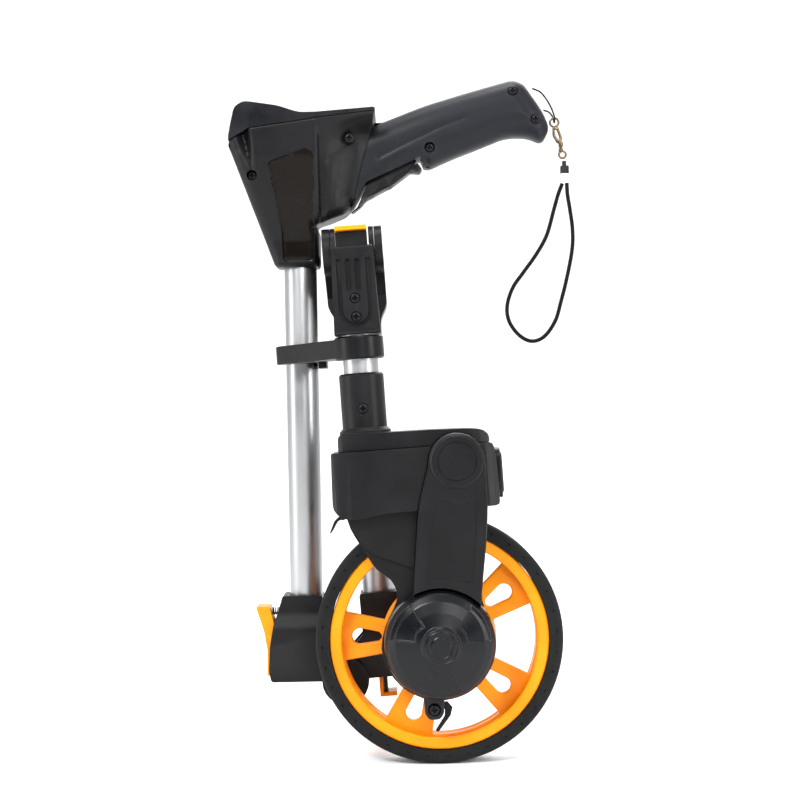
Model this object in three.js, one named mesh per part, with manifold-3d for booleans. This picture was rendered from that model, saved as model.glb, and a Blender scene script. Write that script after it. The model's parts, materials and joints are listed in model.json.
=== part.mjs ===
// Folding measuring wheel with a digital display head, shown folded for carrying.
// Millimetres, +Z up. The origin is on the axle's line, on the hub cover's flat face. -Y is the
// drive side.
// The folded tubes stand in two frames: the handle's tube is upright, and the fork's and the
// middle tube lean a few degrees from it, because the lower fold closes a little past parallel.
import * as THREE from "three";
import { mergeVertices } from "three/addons/utils/BufferGeometryUtils.js";
import Module from "manifold-3d";

const wasm = await Module();
wasm.setup();

// ---- Driving dimensions ----
const CIRCUMFERENCE = 500;
const TYRE_R = CIRCUMFERENCE / (2 * Math.PI);
const TYRE_HALF_WIDTH = 14;
const LEAN = THREE.MathUtils.degToRad(3.1);
const GAP = 0.3;
const TUBE_R = 11;
const TUBE_WALL = 1.2;
const STEM_X = -38;
const HINGE_OFFSET = 26;
const FOLDED_Y = 2 * HINGE_OFFSET;
const UPPER_FOLD_Z = 256;
const LOWER_FOLD_Z = -29.3;
const HANDLE_X = -88.3;
const HANDLE_FOLD_Z = -32.7;
const BARREL_R = 15.7;
const EAR_OUTER = 19.8;
const EAR_SPLIT = 14.5;
const BLOCK_LENGTH = 57;
const TUBE_DEPTH = 20;
const PLATE_FRONT = -24;
const PLATE_BACK = -18;
const COUNTER_X = 18.6;
const COUNTER_Z = 113.6;

// ---- Colours ----
function plastic(color, roughness) {
  return new THREE.MeshStandardMaterial({ color, roughness, metalness: 0 });
}
function metal(color, roughness) {
  return new THREE.MeshStandardMaterial({ color, roughness, metalness: 1 });
}
const BLACK = plastic(0x1b1b1e, 0.55);
const GLOSSY_BLACK = plastic(0x202125, 0.35);
const GRIP_BLACK = plastic(0x20242a, 0.7);
const ORANGE = plastic(0xf59a0c, 0.4);
const RUBBER = plastic(0x26262a, 0.9);
const ALUMINIUM = metal(0xc9cbce, 0.35);
const STEEL = metal(0x9a9a9e, 0.4);
const DARK_STEEL = metal(0x1a1a1c, 0.5);
const NICKEL = metal(0xb9b2a4, 0.3);
const BOARD_GREEN = plastic(0x1d5a34, 0.6);
const LCD_GREY = plastic(0x8f9a86, 0.4);
const CLEAR = plastic(0xc8d2d6, 0.1);
const WEBBING = plastic(0x121214, 0.95);

// ---- Geometry helpers ----
function solid(geometry) {
  const bare = geometry.index ? geometry.toNonIndexed() : geometry.clone();
  bare.deleteAttribute("normal");
  bare.deleteAttribute("uv");
  const merged = mergeVertices(bare, 1e-4);
  const vertProperties = merged.attributes.position.array;
  const triVerts = new Uint32Array(merged.index.array);
  let volume = 0;
  const corner = [new THREE.Vector3(), new THREE.Vector3(), new THREE.Vector3()];
  for (let i = 0; i < triVerts.length; i += 3) {
    corner.forEach((c, k) => c.fromArray(vertProperties, 3 * triVerts[i + k]));
    volume += corner[0].dot(corner[1].cross(corner[2]));
  }
  if (volume < 0) triVerts.reverse();
  return new wasm.Manifold(new wasm.Mesh({ numProp: 3, vertProperties, triVerts }));
}

// A closed outline with its corners rounded. A point may carry its own radius as a third value.
function rounded(points, radius, steps = 2) {
  const corners = points.map(([x, y]) => new THREE.Vector2(x, y));
  return corners.flatMap((p, i) => {
    const r = points[i][2] ?? radius;
    if (!r) return [p];
    const before = corners.at(i - 1).clone().sub(p);
    const after = corners[(i + 1) % corners.length].clone().sub(p);
    const cut = Math.min(r, 0.45 * before.length(), 0.45 * after.length());
    const start = p.clone().add(before.setLength(cut));
    const end = p.clone().add(after.setLength(cut));
    return new THREE.QuadraticBezierCurve(start, p, end).getPoints(steps);
  });
}
function circle(x, y, r, sides = 24) {
  return Array.from({ length: sides }, (_, i) => {
    const a = (2 * Math.PI * i) / sides;
    return new THREE.Vector2(x + r * Math.cos(a), y + r * Math.sin(a));
  });
}
function sharp(points) {
  return points.map(([x, y]) => new THREE.Vector2(x, y));
}
const PRISM_BASIS = {
  X: [new THREE.Vector3(0, 1, 0), new THREE.Vector3(0, 0, 1), new THREE.Vector3(1, 0, 0)],
  Y: [new THREE.Vector3(1, 0, 0), new THREE.Vector3(0, 0, 1), new THREE.Vector3(0, -1, 0)],
  Z: [new THREE.Vector3(1, 0, 0), new THREE.Vector3(0, 1, 0), new THREE.Vector3(0, 0, 1)],
};
// An outline pushed along an axis from one place to another. Along Y the outline is in X and Z,
// and along X it is in Y and Z. A bevel rounds the rims at both ends inside the outline.
function prism(axis, points, from, to, bevel = 0) {
  const geometry = new THREE.ExtrudeGeometry(new THREE.Shape(points), {
    depth: to - from - 2 * bevel,
    bevelEnabled: bevel > 0,
    bevelThickness: bevel,
    bevelSize: bevel,
    bevelOffset: -bevel,
    bevelSegments: 2,
  });
  geometry.translate(0, 0, bevel);
  const start = axis === "Y" ? to : from;
  const [u, v, w] = PRISM_BASIS[axis];
  const place = new THREE.Matrix4().makeBasis(u, v, w);
  place.setPosition(w.clone().multiplyScalar(axis === "Y" ? -start : start));
  return solid(geometry.applyMatrix4(place));
}
function box(x0, x1, y0, y1, z0, z1) {
  const geometry = new THREE.BoxGeometry(x1 - x0, y1 - y0, z1 - z0);
  return solid(geometry.translate((x0 + x1) / 2, (y0 + y1) / 2, (z0 + z1) / 2));
}
// A profile of (radius, height) points turned about an axis through a centre.
function turned(axis, profile, centre = [0, 0, 0], sides = 24) {
  const geometry = new THREE.LatheGeometry(sharp(profile), sides);
  if (axis === "Z") geometry.rotateX(Math.PI / 2);
  if (axis === "X") geometry.rotateZ(-Math.PI / 2);
  return solid(geometry.translate(...centre));
}
function tubeOf(x, y, z0, z1) {
  const bore = TUBE_R - TUBE_WALL;
  return turned("Z", [[bore, z0], [TUBE_R, z0], [TUBE_R, z1], [bore, z1], [bore, z0]], [x, y, 0]);
}
function cord(points, radius, sides, steps) {
  const path = new THREE.CatmullRomCurve3(points.map((p) => new THREE.Vector3(...p)));
  const section = new THREE.Shape(circle(0, 0, radius, sides));
  const options = { steps, bevelEnabled: false, extrudePath: path };
  return solid(new THREE.ExtrudeGeometry(section, options));
}
function mesh(name, shape, material) {
  const { vertProperties, triVerts } = shape.getMesh();
  const geometry = new THREE.BufferGeometry();
  geometry.setAttribute("position", new THREE.BufferAttribute(vertProperties, 3));
  geometry.setIndex(new THREE.BufferAttribute(triVerts, 1));
  const flat = geometry.toNonIndexed();
  flat.computeVertexNormals();
  const made = new THREE.Mesh(flat, material);
  made.name = name;
  return made;
}

// ---- Fasteners ----
const SCREW_HEAD_R = 3.2;
const SCREW_HEAD_HEIGHT = 2.2;
const SCREW_SHANK_R = 1.5;
// A pan head screw along Y. Its head's outer face is at y, and it points towards +Y.
function screwProfile(grow, length) {
  return [
    [0, -grow],
    [SCREW_HEAD_R + grow, -grow],
    [SCREW_HEAD_R + grow, SCREW_HEAD_HEIGHT + grow],
    [SCREW_SHANK_R + grow, SCREW_HEAD_HEIGHT + grow],
    [SCREW_SHANK_R + grow, length + grow],
    [0, length + grow],
  ];
}
function screw(x, y, z, length) {
  return turned("Y", screwProfile(0, length), [x, y, z], 12);
}
// The stepped hole that a screw sits in, open above its head.
function screwHole(x, y, z, length) {
  const open = prism("Y", circle(x, z, SCREW_HEAD_R + GAP, 12), y - 12, y);
  return turned("Y", screwProfile(GAP, length), [x, y, z], 12).add(open);
}

// ---- Hinge blocks ----
// Both kinds are drawn in one frame: z runs up the tube from the block's end face, x points from
// the tube to the fold's axis, and y is along that axis.
const LEVER_PIN = [-22.5, 27];
const LEVER_PIN_R = 1.5;
const HINGE_PIN_R = 3;
const CATCH_HALF_WIDTH = 10.3;
const END_GAP = 0.15;

function ears(inner, outer) {
  const web = sharp([[4, END_GAP], [HINGE_OFFSET, END_GAP], [HINGE_OFFSET, BARREL_R], [12, 30], [4, 30]]);
  const barrel = circle(HINGE_OFFSET, 0, BARREL_R, 24);
  return [[inner, outer], [-outer, -inner]].map(([from, to]) =>
    prism("Y", barrel, from, to).add(prism("Y", web, from, to)));
}
function hingePinHole() {
  return prism("Y", circle(HINGE_OFFSET, 0, HINGE_PIN_R + GAP, 12), -40, 40);
}
function hingePin() {
  return prism("Y", circle(HINGE_OFFSET, 0, HINGE_PIN_R, 12), -EAR_OUTER, EAR_OUTER);
}
function tubeBore() {
  return prism("Z", circle(0, 0, TUBE_R + GAP), TUBE_DEPTH, 90);
}

// The inner block, which carries the catch: two ears inside, a ribbed outer face and a tongue
// that backs the catch.
function catchBlock() {
  const side = rounded([[-14.5, END_GAP], [12, END_GAP], [13, BLOCK_LENGTH], [-15, BLOCK_LENGTH]], 2);
  const face = sharp([[-13.2, -1], [13.2, -1], [15, 60], [-15, 60]]);
  const [rightEar, leftEar] = ears(11, EAR_SPLIT - 0.2);
  const tongue = box(-1.6, 0.9, -CATCH_HALF_WIDTH, CATCH_HALF_WIDTH, -10.2, 2);
  const channel = (points) => prism("X", points, -20, -12.6);
  const panelEdge = 9.4;
  const panelBottom = 42;
  const bow = (r) => Array.from({ length: 7 }, (_, i) => {
    const a = (Math.PI * i) / 6;
    return new THREE.Vector2(r * Math.cos(a), panelBottom + r * Math.sin(a));
  });
  const outerBow = bow(panelEdge + 1.4);
  const innerBow = bow(panelEdge - 1.4).reverse();
  const ledge = 8.5;
  const groove = [
    new THREE.Vector2(panelEdge + 1.4, ledge),
    ...outerBow,
    new THREE.Vector2(-panelEdge - 1.4, ledge),
    new THREE.Vector2(1.4 - panelEdge, ledge),
    ...innerBow,
    new THREE.Vector2(panelEdge - 1.4, ledge),
  ];
  const slots = [-3.3, 2.6].map((y) =>
    channel(rounded([[y - 1.6, ledge], [y + 1.6, ledge], [y + 1.6, 29], [y - 1.6, 29]], 1.5)));
  return prism("Y", side, -15, 15)
    .intersect(prism("X", face, -30, 30))
    .add(rightEar)
    .add(leftEar)
    .add(tongue)
    .subtract(channel(groove))
    .subtract(slots[0])
    .subtract(slots[1])
    .subtract(catchHook(GAP))
    .subtract(tubeBore())
    .subtract(hingePinHole());
}
function catchHook(grow = 0) {
  const [back, front, toe] = [3.9 + grow, 1.3 - grow, -7.7 - grow];
  const [root, sole, top] = [11 + grow, -10.7 + grow, -13.5 - grow];
  const profile = [[back, root], [front, root], [front, sole], [toe, sole], [toe, top], [back, top]];
  return prism("Y", sharp(profile), -CATCH_HALF_WIDTH - grow, CATCH_HALF_WIDTH + grow);
}
function catchScrews() {
  return [34, 46].map((z) => ({ x: -14.7, z }));
}

// The outer block, which carries the sprung lever: two ears outside, a pocket that the catch
// enters, and a channel down its outer face for the lever.
function latchBlock() {
  const side = rounded([
    [12, END_GAP], [12.5, 30], [11.3, BLOCK_LENGTH], [-15.6, BLOCK_LENGTH], [-16.7, 52.7],
    [-21.7, 37.7], [-24.2, 23.3], [-25.1, 7.3], [-23.5, END_GAP],
  ], 1.5, 2);
  const w = EAR_OUTER;
  const face = rounded([
    [-w, -1, 0], [w, -1, 0], [w, 36], [15, 45], [14.6, 60, 0], [-14.6, 60, 0], [-15, 45], [-w, 36],
  ], 3);
  const channel = sharp([
    [-40, -1], [-22.2, -1], [-22.2, 27], [-19, 37], [-18.2, 46], [-15, 60], [-40, 60],
  ]);
  const pinHole = circle(...LEVER_PIN, LEVER_PIN_R + GAP, 12);
  const [rightEar, leftEar] = ears(EAR_SPLIT + 0.2, EAR_OUTER);
  return prism("Y", side, -EAR_OUTER, EAR_OUTER)
    .intersect(prism("X", face, -40, 40))
    .subtract(prism("Y", circle(HINGE_OFFSET, 0, BARREL_R + 0.8, 24), -EAR_SPLIT, EAR_SPLIT))
    .add(rightEar)
    .add(leftEar)
    .subtract(box(-11.4, 6.5, -12, 12, -1, 16))
    .subtract(box(-30, -9, -8.6, 8.6, -1, 12.4))
    .subtract(prism("Y", channel, -10.7, 10.7))
    .subtract(prism("Y", circle(...LEVER_PIN, 5, 16), -10.7, 10.7))
    .subtract(prism("Y", pinHole, -16, 16))
    .subtract(tubeBore())
    .subtract(hingePinHole());
}
function latchLever() {
  const profile = rounded([
    [-33.9, 49.7], [-28.6, 33], [-26.6, 20.7], [-26.9, 3.2], [-22.8, 3.2], [-22.6, 27],
    [-21.9, 38.5], [-24.7, 49.7],
  ], 1);
  return prism("Y", profile, -10.2, 10.2)
    .add(prism("Y", circle(...LEVER_PIN, 4, 16), -10.2, 10.2))
    .add(box(-24, -10.4, -8, 8, 6.7, 9.9))
    .subtract(prism("Y", circle(...LEVER_PIN, LEVER_PIN_R + GAP, 12), -11, 11));
}
function leverPin() {
  return prism("Y", circle(...LEVER_PIN, LEVER_PIN_R, 12), -15, 15);
}
function latchSpring() {
  const turns = 3;
  const stepsPerTurn = 8;
  const coilR = 2.3;
  const [from, to] = [-23.1, -19.1];
  const seatZ = 45.6;
  const points = Array.from({ length: turns * stepsPerTurn + 1 }, (_, i) => {
    const a = (2 * Math.PI * i) / stepsPerTurn;
    const x = from + ((to - from) * i) / (turns * stepsPerTurn);
    return [x, coilR * Math.cos(a), seatZ + coilR * Math.sin(a)];
  });
  return cord(points, 0.4, 5, turns * stepsPerTurn);
}

// A group whose x, y and z are the hinge block frame, at a fold.
function blockFrame(origin, outward, alongTube) {
  const group = new THREE.Group();
  const x = new THREE.Vector3(...outward);
  const z = new THREE.Vector3(...alongTube);
  const y = new THREE.Vector3().crossVectors(z, x);
  group.quaternion.setFromRotationMatrix(new THREE.Matrix4().makeBasis(x, y, z));
  group.position.set(...origin);
  return group;
}
function addCatchSide(group, name) {
  const screws = catchScrews();
  const length = 3.1;
  const turnedScrew = ({ x, z }) =>
    turned("X", screwProfile(0, length), [x, 0, z], 12);
  const turnedHole = ({ x, z }) =>
    turned("X", screwProfile(GAP, length), [x, 0, z], 12)
      .add(prism("X", circle(0, z, SCREW_HEAD_R + GAP, 12), x - 6, x));
  let block = catchBlock();
  screws.forEach((place) => {
    block = block.subtract(turnedHole(place));
  });
  group.add(mesh(`${name}_hinge_block`, block, BLACK));
  group.add(mesh(`${name}_catch`, catchHook(), ORANGE));
  group.add(mesh(`${name}_hinge_pin`, hingePin(), STEEL));
  return screws.map(turnedScrew);
}
function addLatchSide(group, name) {
  group.add(mesh(`${name}_latch_block`, latchBlock(), BLACK));
  group.add(mesh(`${name}_latch_lever`, latchLever(), ORANGE));
  group.add(mesh(`${name}_lever_pin`, leverPin(), STEEL));
  group.add(mesh(`${name}_latch_spring`, latchSpring(), DARK_STEEL));
}

// ---- Wheel ----
const RIM_R = 70.3;
const RIM_INNER_R = 62.6;
const SPOKES = 5;
const FIRST_SPOKE = THREE.MathUtils.degToRad(31);
const HUB_DISC_R = 37;
const HUB_SLEEVE_R = 16;
const BEARING_R = 11;
const AXLE_R = 5;

function tyre() {
  const w = TYRE_HALF_WIDTH;
  const inner = RIM_R + GAP;
  const profile = [
    [inner, -w], [TYRE_R - 3, -w], [TYRE_R, -w + 4], [TYRE_R, w - 4], [TYRE_R - 3, w],
    [inner, w], [inner, -w],
  ];
  return turned("Y", profile, [0, 0, 0], 56);
}
// The opening between two spokes: an arc under the rim, an arc round the hub disc, and straight
// sides that keep the spokes' taper.
function spokeWindow(middle) {
  const atRim = 16 / RIM_INNER_R;
  const atHub = 11 / HUB_DISC_R;
  const half = Math.PI / SPOKES;
  const arc = (r, from, to, count) => Array.from({ length: count }, (_, i) => {
    const a = middle + from + ((to - from) * i) / (count - 1);
    return [r * Math.cos(a), r * Math.sin(a), i === 0 || i === count - 1 ? 6 : 0];
  });
  const outer = arc(RIM_INNER_R, atRim - half, half - atRim, 7);
  const inner = arc(HUB_DISC_R, half - atHub, atHub - half, 4);
  return prism("Y", rounded([...outer, ...inner], 0), -20, 20);
}
function teardrop(angle) {
  const roundR = 5.2;
  const centreR = 51;
  const tip = 3;
  const end = 38.5;
  const points = Array.from({ length: 7 }, (_, i) => {
    const a = -Math.PI / 2 + (Math.PI * i) / 6;
    return [centreR + roundR * Math.cos(a), roundR * Math.sin(a)];
  });
  points.push([end, tip], [end - 2, 0], [end, -tip]);
  const turnedPoints = points.map(([r, s]) => [
    r * Math.cos(angle) - s * Math.sin(angle),
    r * Math.sin(angle) + s * Math.cos(angle),
  ]);
  return prism("Y", sharp(turnedPoints), -20, 20);
}
function rim() {
  const w = TYRE_HALF_WIDTH - 1;
  const bandProfile = [
    [RIM_INNER_R, -w], [RIM_R, -w], [RIM_R, w], [RIM_INNER_R, w], [RIM_INNER_R, -w],
  ];
  let web = prism("Y", circle(0, 0, RIM_INNER_R + 3, 56), -3.5, 3.5);
  for (let k = 0; k < SPOKES; k += 1) {
    const spoke = FIRST_SPOKE + (2 * Math.PI * k) / SPOKES;
    web = web.subtract(spokeWindow(spoke + Math.PI / SPOKES)).subtract(teardrop(spoke));
  }
  return turned("Y", bandProfile, [0, 0, 0], 56)
    .add(web)
    .add(prism("Y", circle(0, 0, HUB_SLEEVE_R), -15.5, 15.5))
    .subtract(prism("Y", circle(0, 0, BEARING_R + GAP), -20, 20));
}
function bearing(y0, y1) {
  const inner = AXLE_R + GAP;
  return turned("Y", [[inner, y0], [BEARING_R, y0], [BEARING_R, y1], [inner, y1], [inner, y0]]);
}

// ---- Belt drive, in the pocket of the belt cover ----
const PULLEY_R = 12;
const BELT_Y = [-35, -30];
const BELT_THICKNESS = 1.6;
function hubPulley() {
  const inner = AXLE_R + GAP;
  return turned("Y", [
    [inner, -37.5], [PULLEY_R + 2, -37.5], [PULLEY_R + 2, -36], [PULLEY_R, -36], [PULLEY_R, -29],
    [PULLEY_R + 2, -29], [PULLEY_R + 2, -27.5], [12, -27.5], [12, -15.8], [inner, -15.8],
    [inner, -37.5],
  ]);
}
function counterPulley() {
  return turned("Y", [
    [0, -37.5], [PULLEY_R - 1, -37.5], [PULLEY_R - 1, -36], [PULLEY_R - 3, -36],
    [PULLEY_R - 3, -29], [PULLEY_R - 1, -29], [PULLEY_R - 1, -27.5], [3, -27.5], [3, -8],
    [5, -8], [5, -5], [0, -5],
  ], [COUNTER_X, 0, COUNTER_Z]);
}
// The belt is the band outside the line that runs round both pulleys.
function beltOutline(extra) {
  const big = PULLEY_R + GAP + extra;
  const small = PULLEY_R - 3 + GAP + extra;
  const span = Math.hypot(COUNTER_X, COUNTER_Z);
  const aim = Math.atan2(COUNTER_Z, COUNTER_X);
  const spread = Math.acos((big - small) / span);
  const steps = 12;
  const arc = (x, z, r, from, to) => Array.from({ length: steps + 1 }, (_, i) => {
    const a = from + ((to - from) * i) / steps;
    return new THREE.Vector2(x + r * Math.cos(a), z + r * Math.sin(a));
  });
  return [
    ...arc(COUNTER_X, COUNTER_Z, small, aim - spread, aim + spread),
    ...arc(0, 0, big, aim + spread, aim + 2 * Math.PI - spread),
  ];
}
function driveBelt() {
  return prism("Y", beltOutline(BELT_THICKNESS), ...BELT_Y)
    .subtract(prism("Y", beltOutline(0), BELT_Y[0] - 1, BELT_Y[1] + 1));
}

// ---- Belt cover and hub cover ----
const COVER_FRONT = -42;
const COVER_BACK = PLATE_FRONT - GAP;
const HUB_COVER_R = 35.4;
const LUG_X = -6.7;
const LUG_Z = -41.3;
const HUB_FACE = -51.5;
const COVER_TOP_R = 18;
function coverOutline(inset) {
  const sides = rounded([
    [0.2 + inset, 112, 0], [-5 + inset, 96], [-8 + inset, 84], [-12.5 + inset, 50],
    [-15 + inset, 29], [-22 + inset, 23, 0], [-22 + inset, 0, 0], [30 - inset, 0, 0],
    [30 - inset, 14, 0], [27 - inset, 24], [33 - inset, 59.4], [36 - inset, 84],
    [36.4 - inset, 114, 0],
  ], 8);
  const cap = Array.from({ length: 13 }, (_, i) => {
    const a = (Math.PI * (i + 0.4)) / 12.8;
    const r = COVER_TOP_R - inset;
    return new THREE.Vector2(COUNTER_X + r * Math.cos(a), COUNTER_Z + r * Math.sin(a));
  });
  return [...sides, ...cap];
}
function coverSolid() {
  return prism("Y", coverOutline(0), COVER_FRONT, COVER_BACK, 1.2)
    .subtract(prism("Y", circle(0, 0, HUB_COVER_R + GAP, 48), -60, 0));
}
function coverPocket() {
  return prism("Y", coverOutline(-GAP), COVER_FRONT - 5, PLATE_FRONT);
}
function beltCover() {
  const wall = 2.5;
  const panel = rounded([
    [4, 92], [-2.5, 62], [-6.5, 40], [0, 41.5], [14, 40], [23, 36], [26.5, 60], [30.5, 90], [17.5, 86],
  ], 4);
  return coverSolid()
    .add(turned("Y", [[0, -43.4], [COVER_TOP_R - 2.2, -43.4], [COVER_TOP_R - 1, -42.4],
      [COVER_TOP_R - 1, -40], [0, -40]], [COUNTER_X, 0, COUNTER_Z], 32))
    .subtract(turned("Y", [[11.4, -45], [12.6, -45], [12.6, -42.6], [11.4, -42.6], [11.4, -45]],
      [COUNTER_X, 0, COUNTER_Z], 32))
    .subtract(prism("Y", panel, -50, COVER_FRONT + 0.7))
    .subtract(prism("Y", coverOutline(wall), COVER_FRONT + 2.8, 0));
}
function hubCover() {
  const outer = [
    [0, HUB_FACE], [11.5, HUB_FACE], [13, -49], [21, -47.8], [28, -44.8], [32.4, -40.8],
    [34.7, -35.5], [HUB_COVER_R, -29], [HUB_COVER_R, COVER_BACK], [0, COVER_BACK],
  ];
  const grown = 2.4;
  const inner = [
    [0, -45], [19, -45], [26, -42], [30.4, -38], [HUB_COVER_R - grown, -30],
    [HUB_COVER_R - grown, 0], [0, 0],
  ];
  const lug = rounded([
    [LUG_X - 6.5, -26], [LUG_X + 7.5, -26], [LUG_X + 6, LUG_Z - 3], [LUG_X + 3, LUG_Z - 6.5],
    [LUG_X - 3, LUG_Z - 6.5], [LUG_X - 6, LUG_Z - 3],
  ], 3);
  return turned("Y", outer, [0, 0, 0], 40)
    .add(prism("Y", lug, -32, COVER_BACK))
    .subtract(turned("Y", inner, [0, 0, 0], 24))
    .subtract(box(-14, 34, -39, -20, 0, 60).intersect(prism("Y", beltOutline(4), -39, -20)))
    .subtract(screwHole(LUG_X, -34, LUG_Z, 14));
}

// ---- Fork ----
const BLOCK_TOP = 124;
const FORK_FRONT = -36;
const FORK_BACK = 30;
const WHEEL_ROOM_R = TYRE_R + 3;
function plan(x0, x1, y0, y1, radius) {
  return rounded([[x0, y0], [x1, y0], [x1, y1], [x0, y1]], radius, 4);
}
function forkBlock() {
  const front = rounded([
    [-60.2, BLOCK_TOP, 1], [-61.6, 88, 4], [-55.7, 82.5], [-46, 81.5, 6], [-30, 84, 8],
    [-17, 84.5, 8], [44.6, 84], [43.6, 118], [42, BLOCK_TOP, 2],
  ], 3);
  return prism("Y", front, FORK_FRONT, FORK_BACK)
    .intersect(prism("Z", plan(-62, 45, FORK_FRONT, FORK_BACK, 13), 60, 130))
    .subtract(prism("Y", circle(0, 0, WHEEL_ROOM_R, 48), -17.7, 17.7));
}
function frontLeg() {
  const leg = rounded([
    [-55, 92, 0], [-51.9, 75.3], [-45, 63], [-37, 48], [-27.5, 41.6], [-24.2, 31.3, 4],
    [-27.3, 23.4, 3], [-34, 12.5], [-38, -1.5], [-35.5, -14], [-27, -27], [-14, -35.4], [0, -38],
    [14, -34.5], [26, -24], [33.5, -8], [33, 9], [28, 24], [33, 59.4], [36, 92, 0],
  ], 6);
  const step = rounded([
    [-54, 92, 0], [-50.3, 75.3], [-43.2, 63], [-36, 57.5], [-8, 46], [28, 46, 0], [34, 92, 0],
  ], 4);
  const lugBack = rounded([
    [LUG_X - 6.5, -20], [LUG_X + 6.5, -20], [LUG_X + 5.5, LUG_Z - 5], [LUG_X - 5.5, LUG_Z - 5],
  ], 3);
  return prism("Y", leg, PLATE_FRONT, PLATE_BACK)
    .add(prism("Y", step, PLATE_FRONT - 3, PLATE_FRONT + 1))
    .add(prism("Y", lugBack, PLATE_FRONT, PLATE_BACK));
}
function rearLeg() {
  const leg = rounded([
    [-16, 90, 0], [-13, 40], [-17, 10], [-13, -14], [0, -19], [13, -14], [17, 10], [18, 40],
    [24, 90, 0],
  ], 8);
  return prism("Y", leg, 18, 25, 1);
}
function forkShells() {
  const cavity = box(-50, 38, -31, 25, 94, 119);
  const whole = forkBlock().subtract(cavity).add(frontLeg()).add(rearLeg())
    .subtract(coverPocket())
    .subtract(prism("Y", circle(COUNTER_X, COUNTER_Z, 4.5, 20), -32, -20))
    .subtract(prism("Y", circle(0, 0, PULLEY_R + 1), -40, -10))
    .subtract(prism("Y", circle(0, 0, AXLE_R + GAP, 20), 10, 22.5))
    .subtract(prism("Y", circle(LUG_X, LUG_Z, SCREW_SHANK_R + GAP, 16), -30, -19.6))
    .subtract(counterCover(GAP));
  const far = 90;
  return {
    front: whole.intersect(box(-far, far, -far, -GAP / 2, -far, 2 * far)),
    rear: whole.intersect(box(-far, far, GAP / 2, far, -far, 2 * far)),
  };
}
// The cover over the end of the counter housing, on the block's right side.
function counterCover(grow = 0) {
  const sheet = (y0, y1, z0, z1, x0, x1, radius) => prism("X",
    plan(y0 - grow, y1 + grow, z0 - grow, z1 + grow, radius), x0 - grow, x1 + grow);
  return sheet(-22, 18, 88, 120, 42, 47, 6)
    .add(sheet(-19, 15, 91, 117, 46, 48, 6))
    .add(sheet(-17, 13, 93, 115, 39.5, 44, 4));
}
const SOCKET_TOP = 174;
const SOCKET_SCREW_Z = 151;
function stemSocket() {
  const deck = rounded([
    [-55.8, BLOCK_TOP + GAP, 0], [-55.3, 134], [-51.6, 136.3, 1], [-21.4, 134.9], [3.7, 134.6],
    [26, 133.8], [37, 132.6, 5], [41, 128, 3], [41, BLOCK_TOP + GAP, 0],
  ], 2.5);
  const socketR = 14.5;
  return prism("Y", deck, -31, 25)
    .intersect(prism("Z", plan(-56, 41, -31, 25, 12), 120, 140))
    .add(turned("Z", [[0, 126], [socketR + 2.2, 126], [socketR + 2.2, 136.6],
      [socketR, 138.8], [socketR, SOCKET_TOP - 1.2], [socketR - 1.2, SOCKET_TOP], [0, SOCKET_TOP]],
      [STEM_X, 0, 0], 32))
    .subtract(prism("Z", circle(STEM_X, 0, TUBE_R + GAP), 140, 200))
    .subtract(coverPocket())
    .subtract(screwHole(STEM_X, -14.8, SOCKET_SCREW_Z, 8));
}

// The bracket that parks the handle's tube: a ring on the lower tube, an arm and an open saddle.
const RING_R = 16;
const RING_Z = [183, 198];
function parkingBracket() {
  const arm = rounded([
    [STEM_X - 6, -14.5], [-94.4, 31], [-94.4, 38.8], [-56, 38.8], [STEM_X + 13, 10],
  ], 5);
  const parkedX = HANDLE_X * Math.cos(LEAN) + 185.6 * Math.sin(LEAN);
  const saddleR = TUBE_R + 1.6;
  return turned("Z", [[0, RING_Z[0]], [RING_R - 1, RING_Z[0]], [RING_R, RING_Z[0] + 1],
    [RING_R, RING_Z[1] - 1], [RING_R - 1, RING_Z[1]], [0, RING_Z[1]]], [STEM_X, 0, 0], 32)
    .add(prism("Z", arm, 184.2, 196.6, 1))
    .add(box(parkedX + saddleR - 1, -61, 30, 54, 180, 196.6))
    .subtract(prism("Z", circle(parkedX, FOLDED_Y, saddleR), 170, 210))
    .subtract(prism("Z", circle(STEM_X, 0, TUBE_R + GAP), 170, 210));
}

function resetLever() {
  const strip = rounded([
    [-55.5, 81.7], [-58.8, 82.4], [-62.6, 79.3], [-66, 71.9], [-65.4, 71.3], [-63.6, 73.5],
    [-60.2, 78.9], [-58.4, 79.9], [-55.5, 79.3],
  ], 1);
  return prism("Y", strip, 4, 16);
}
function pointer() {
  const strip = sharp([
    [-6, -39], [2, -39], [5, -43], [3.5, -48], [-5, -58], [-7, -57], [-0.5, -48], [0, -44],
    [-2, -42], [-6, -42],
  ]);
  return prism("Y", strip, PLATE_BACK + GAP, PLATE_BACK + 2);
}

// ---- Handle, in the frame of its own upright tube ----
const HEAD_SPLIT = GAP / 2;
const HEAD_OUTLINE = [
  [-104.4, 244.6], [-133.9, 325.4, 6], [-131.5, 338], [-128.5, 350.3], [-122.8, 353.4],
  [-119.5, 353.5], [-100, 350.4], [-86, 345.7], [-74.4, 345.7], [-34.8, 348.4, 2], [-37.7, 337.7, 0],
  [-45.2, 312, 0], [-51.8, 284.7, 2], [-56.9, 279.5], [-76.6, 272.4], [-74.4, 268], [-74.6, 247.4],
  [-75.4, 244.5],
];
const GRIP_SEAM = [[-37.7 + GAP, 337.7], [-45.2 + GAP, 312], [-51.8 + GAP, 284.7]];
const BEZEL_SEAM = [[-160, 316.5], [-133.9, 327.4], [-119, 336], [-73, 342], [-20, 347.8]];
function headDepth() {
  const centre = FOLDED_Y;
  const half = [[16, 240], [17, 262], [24, 290], [30, 318], [32, 345], [32, 362]];
  const right = half.map(([w, z]) => [centre + w, z]);
  const left = half.map(([w, z]) => [centre - w, z]).reverse();
  return rounded([...right, ...left], 6);
}
function headSolid() {
  return prism("Y", rounded(HEAD_OUTLINE, 3, 2), FOLDED_Y - 33, FOLDED_Y + 33)
    .intersect(prism("X", headDepth(), -150, -20));
}
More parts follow.
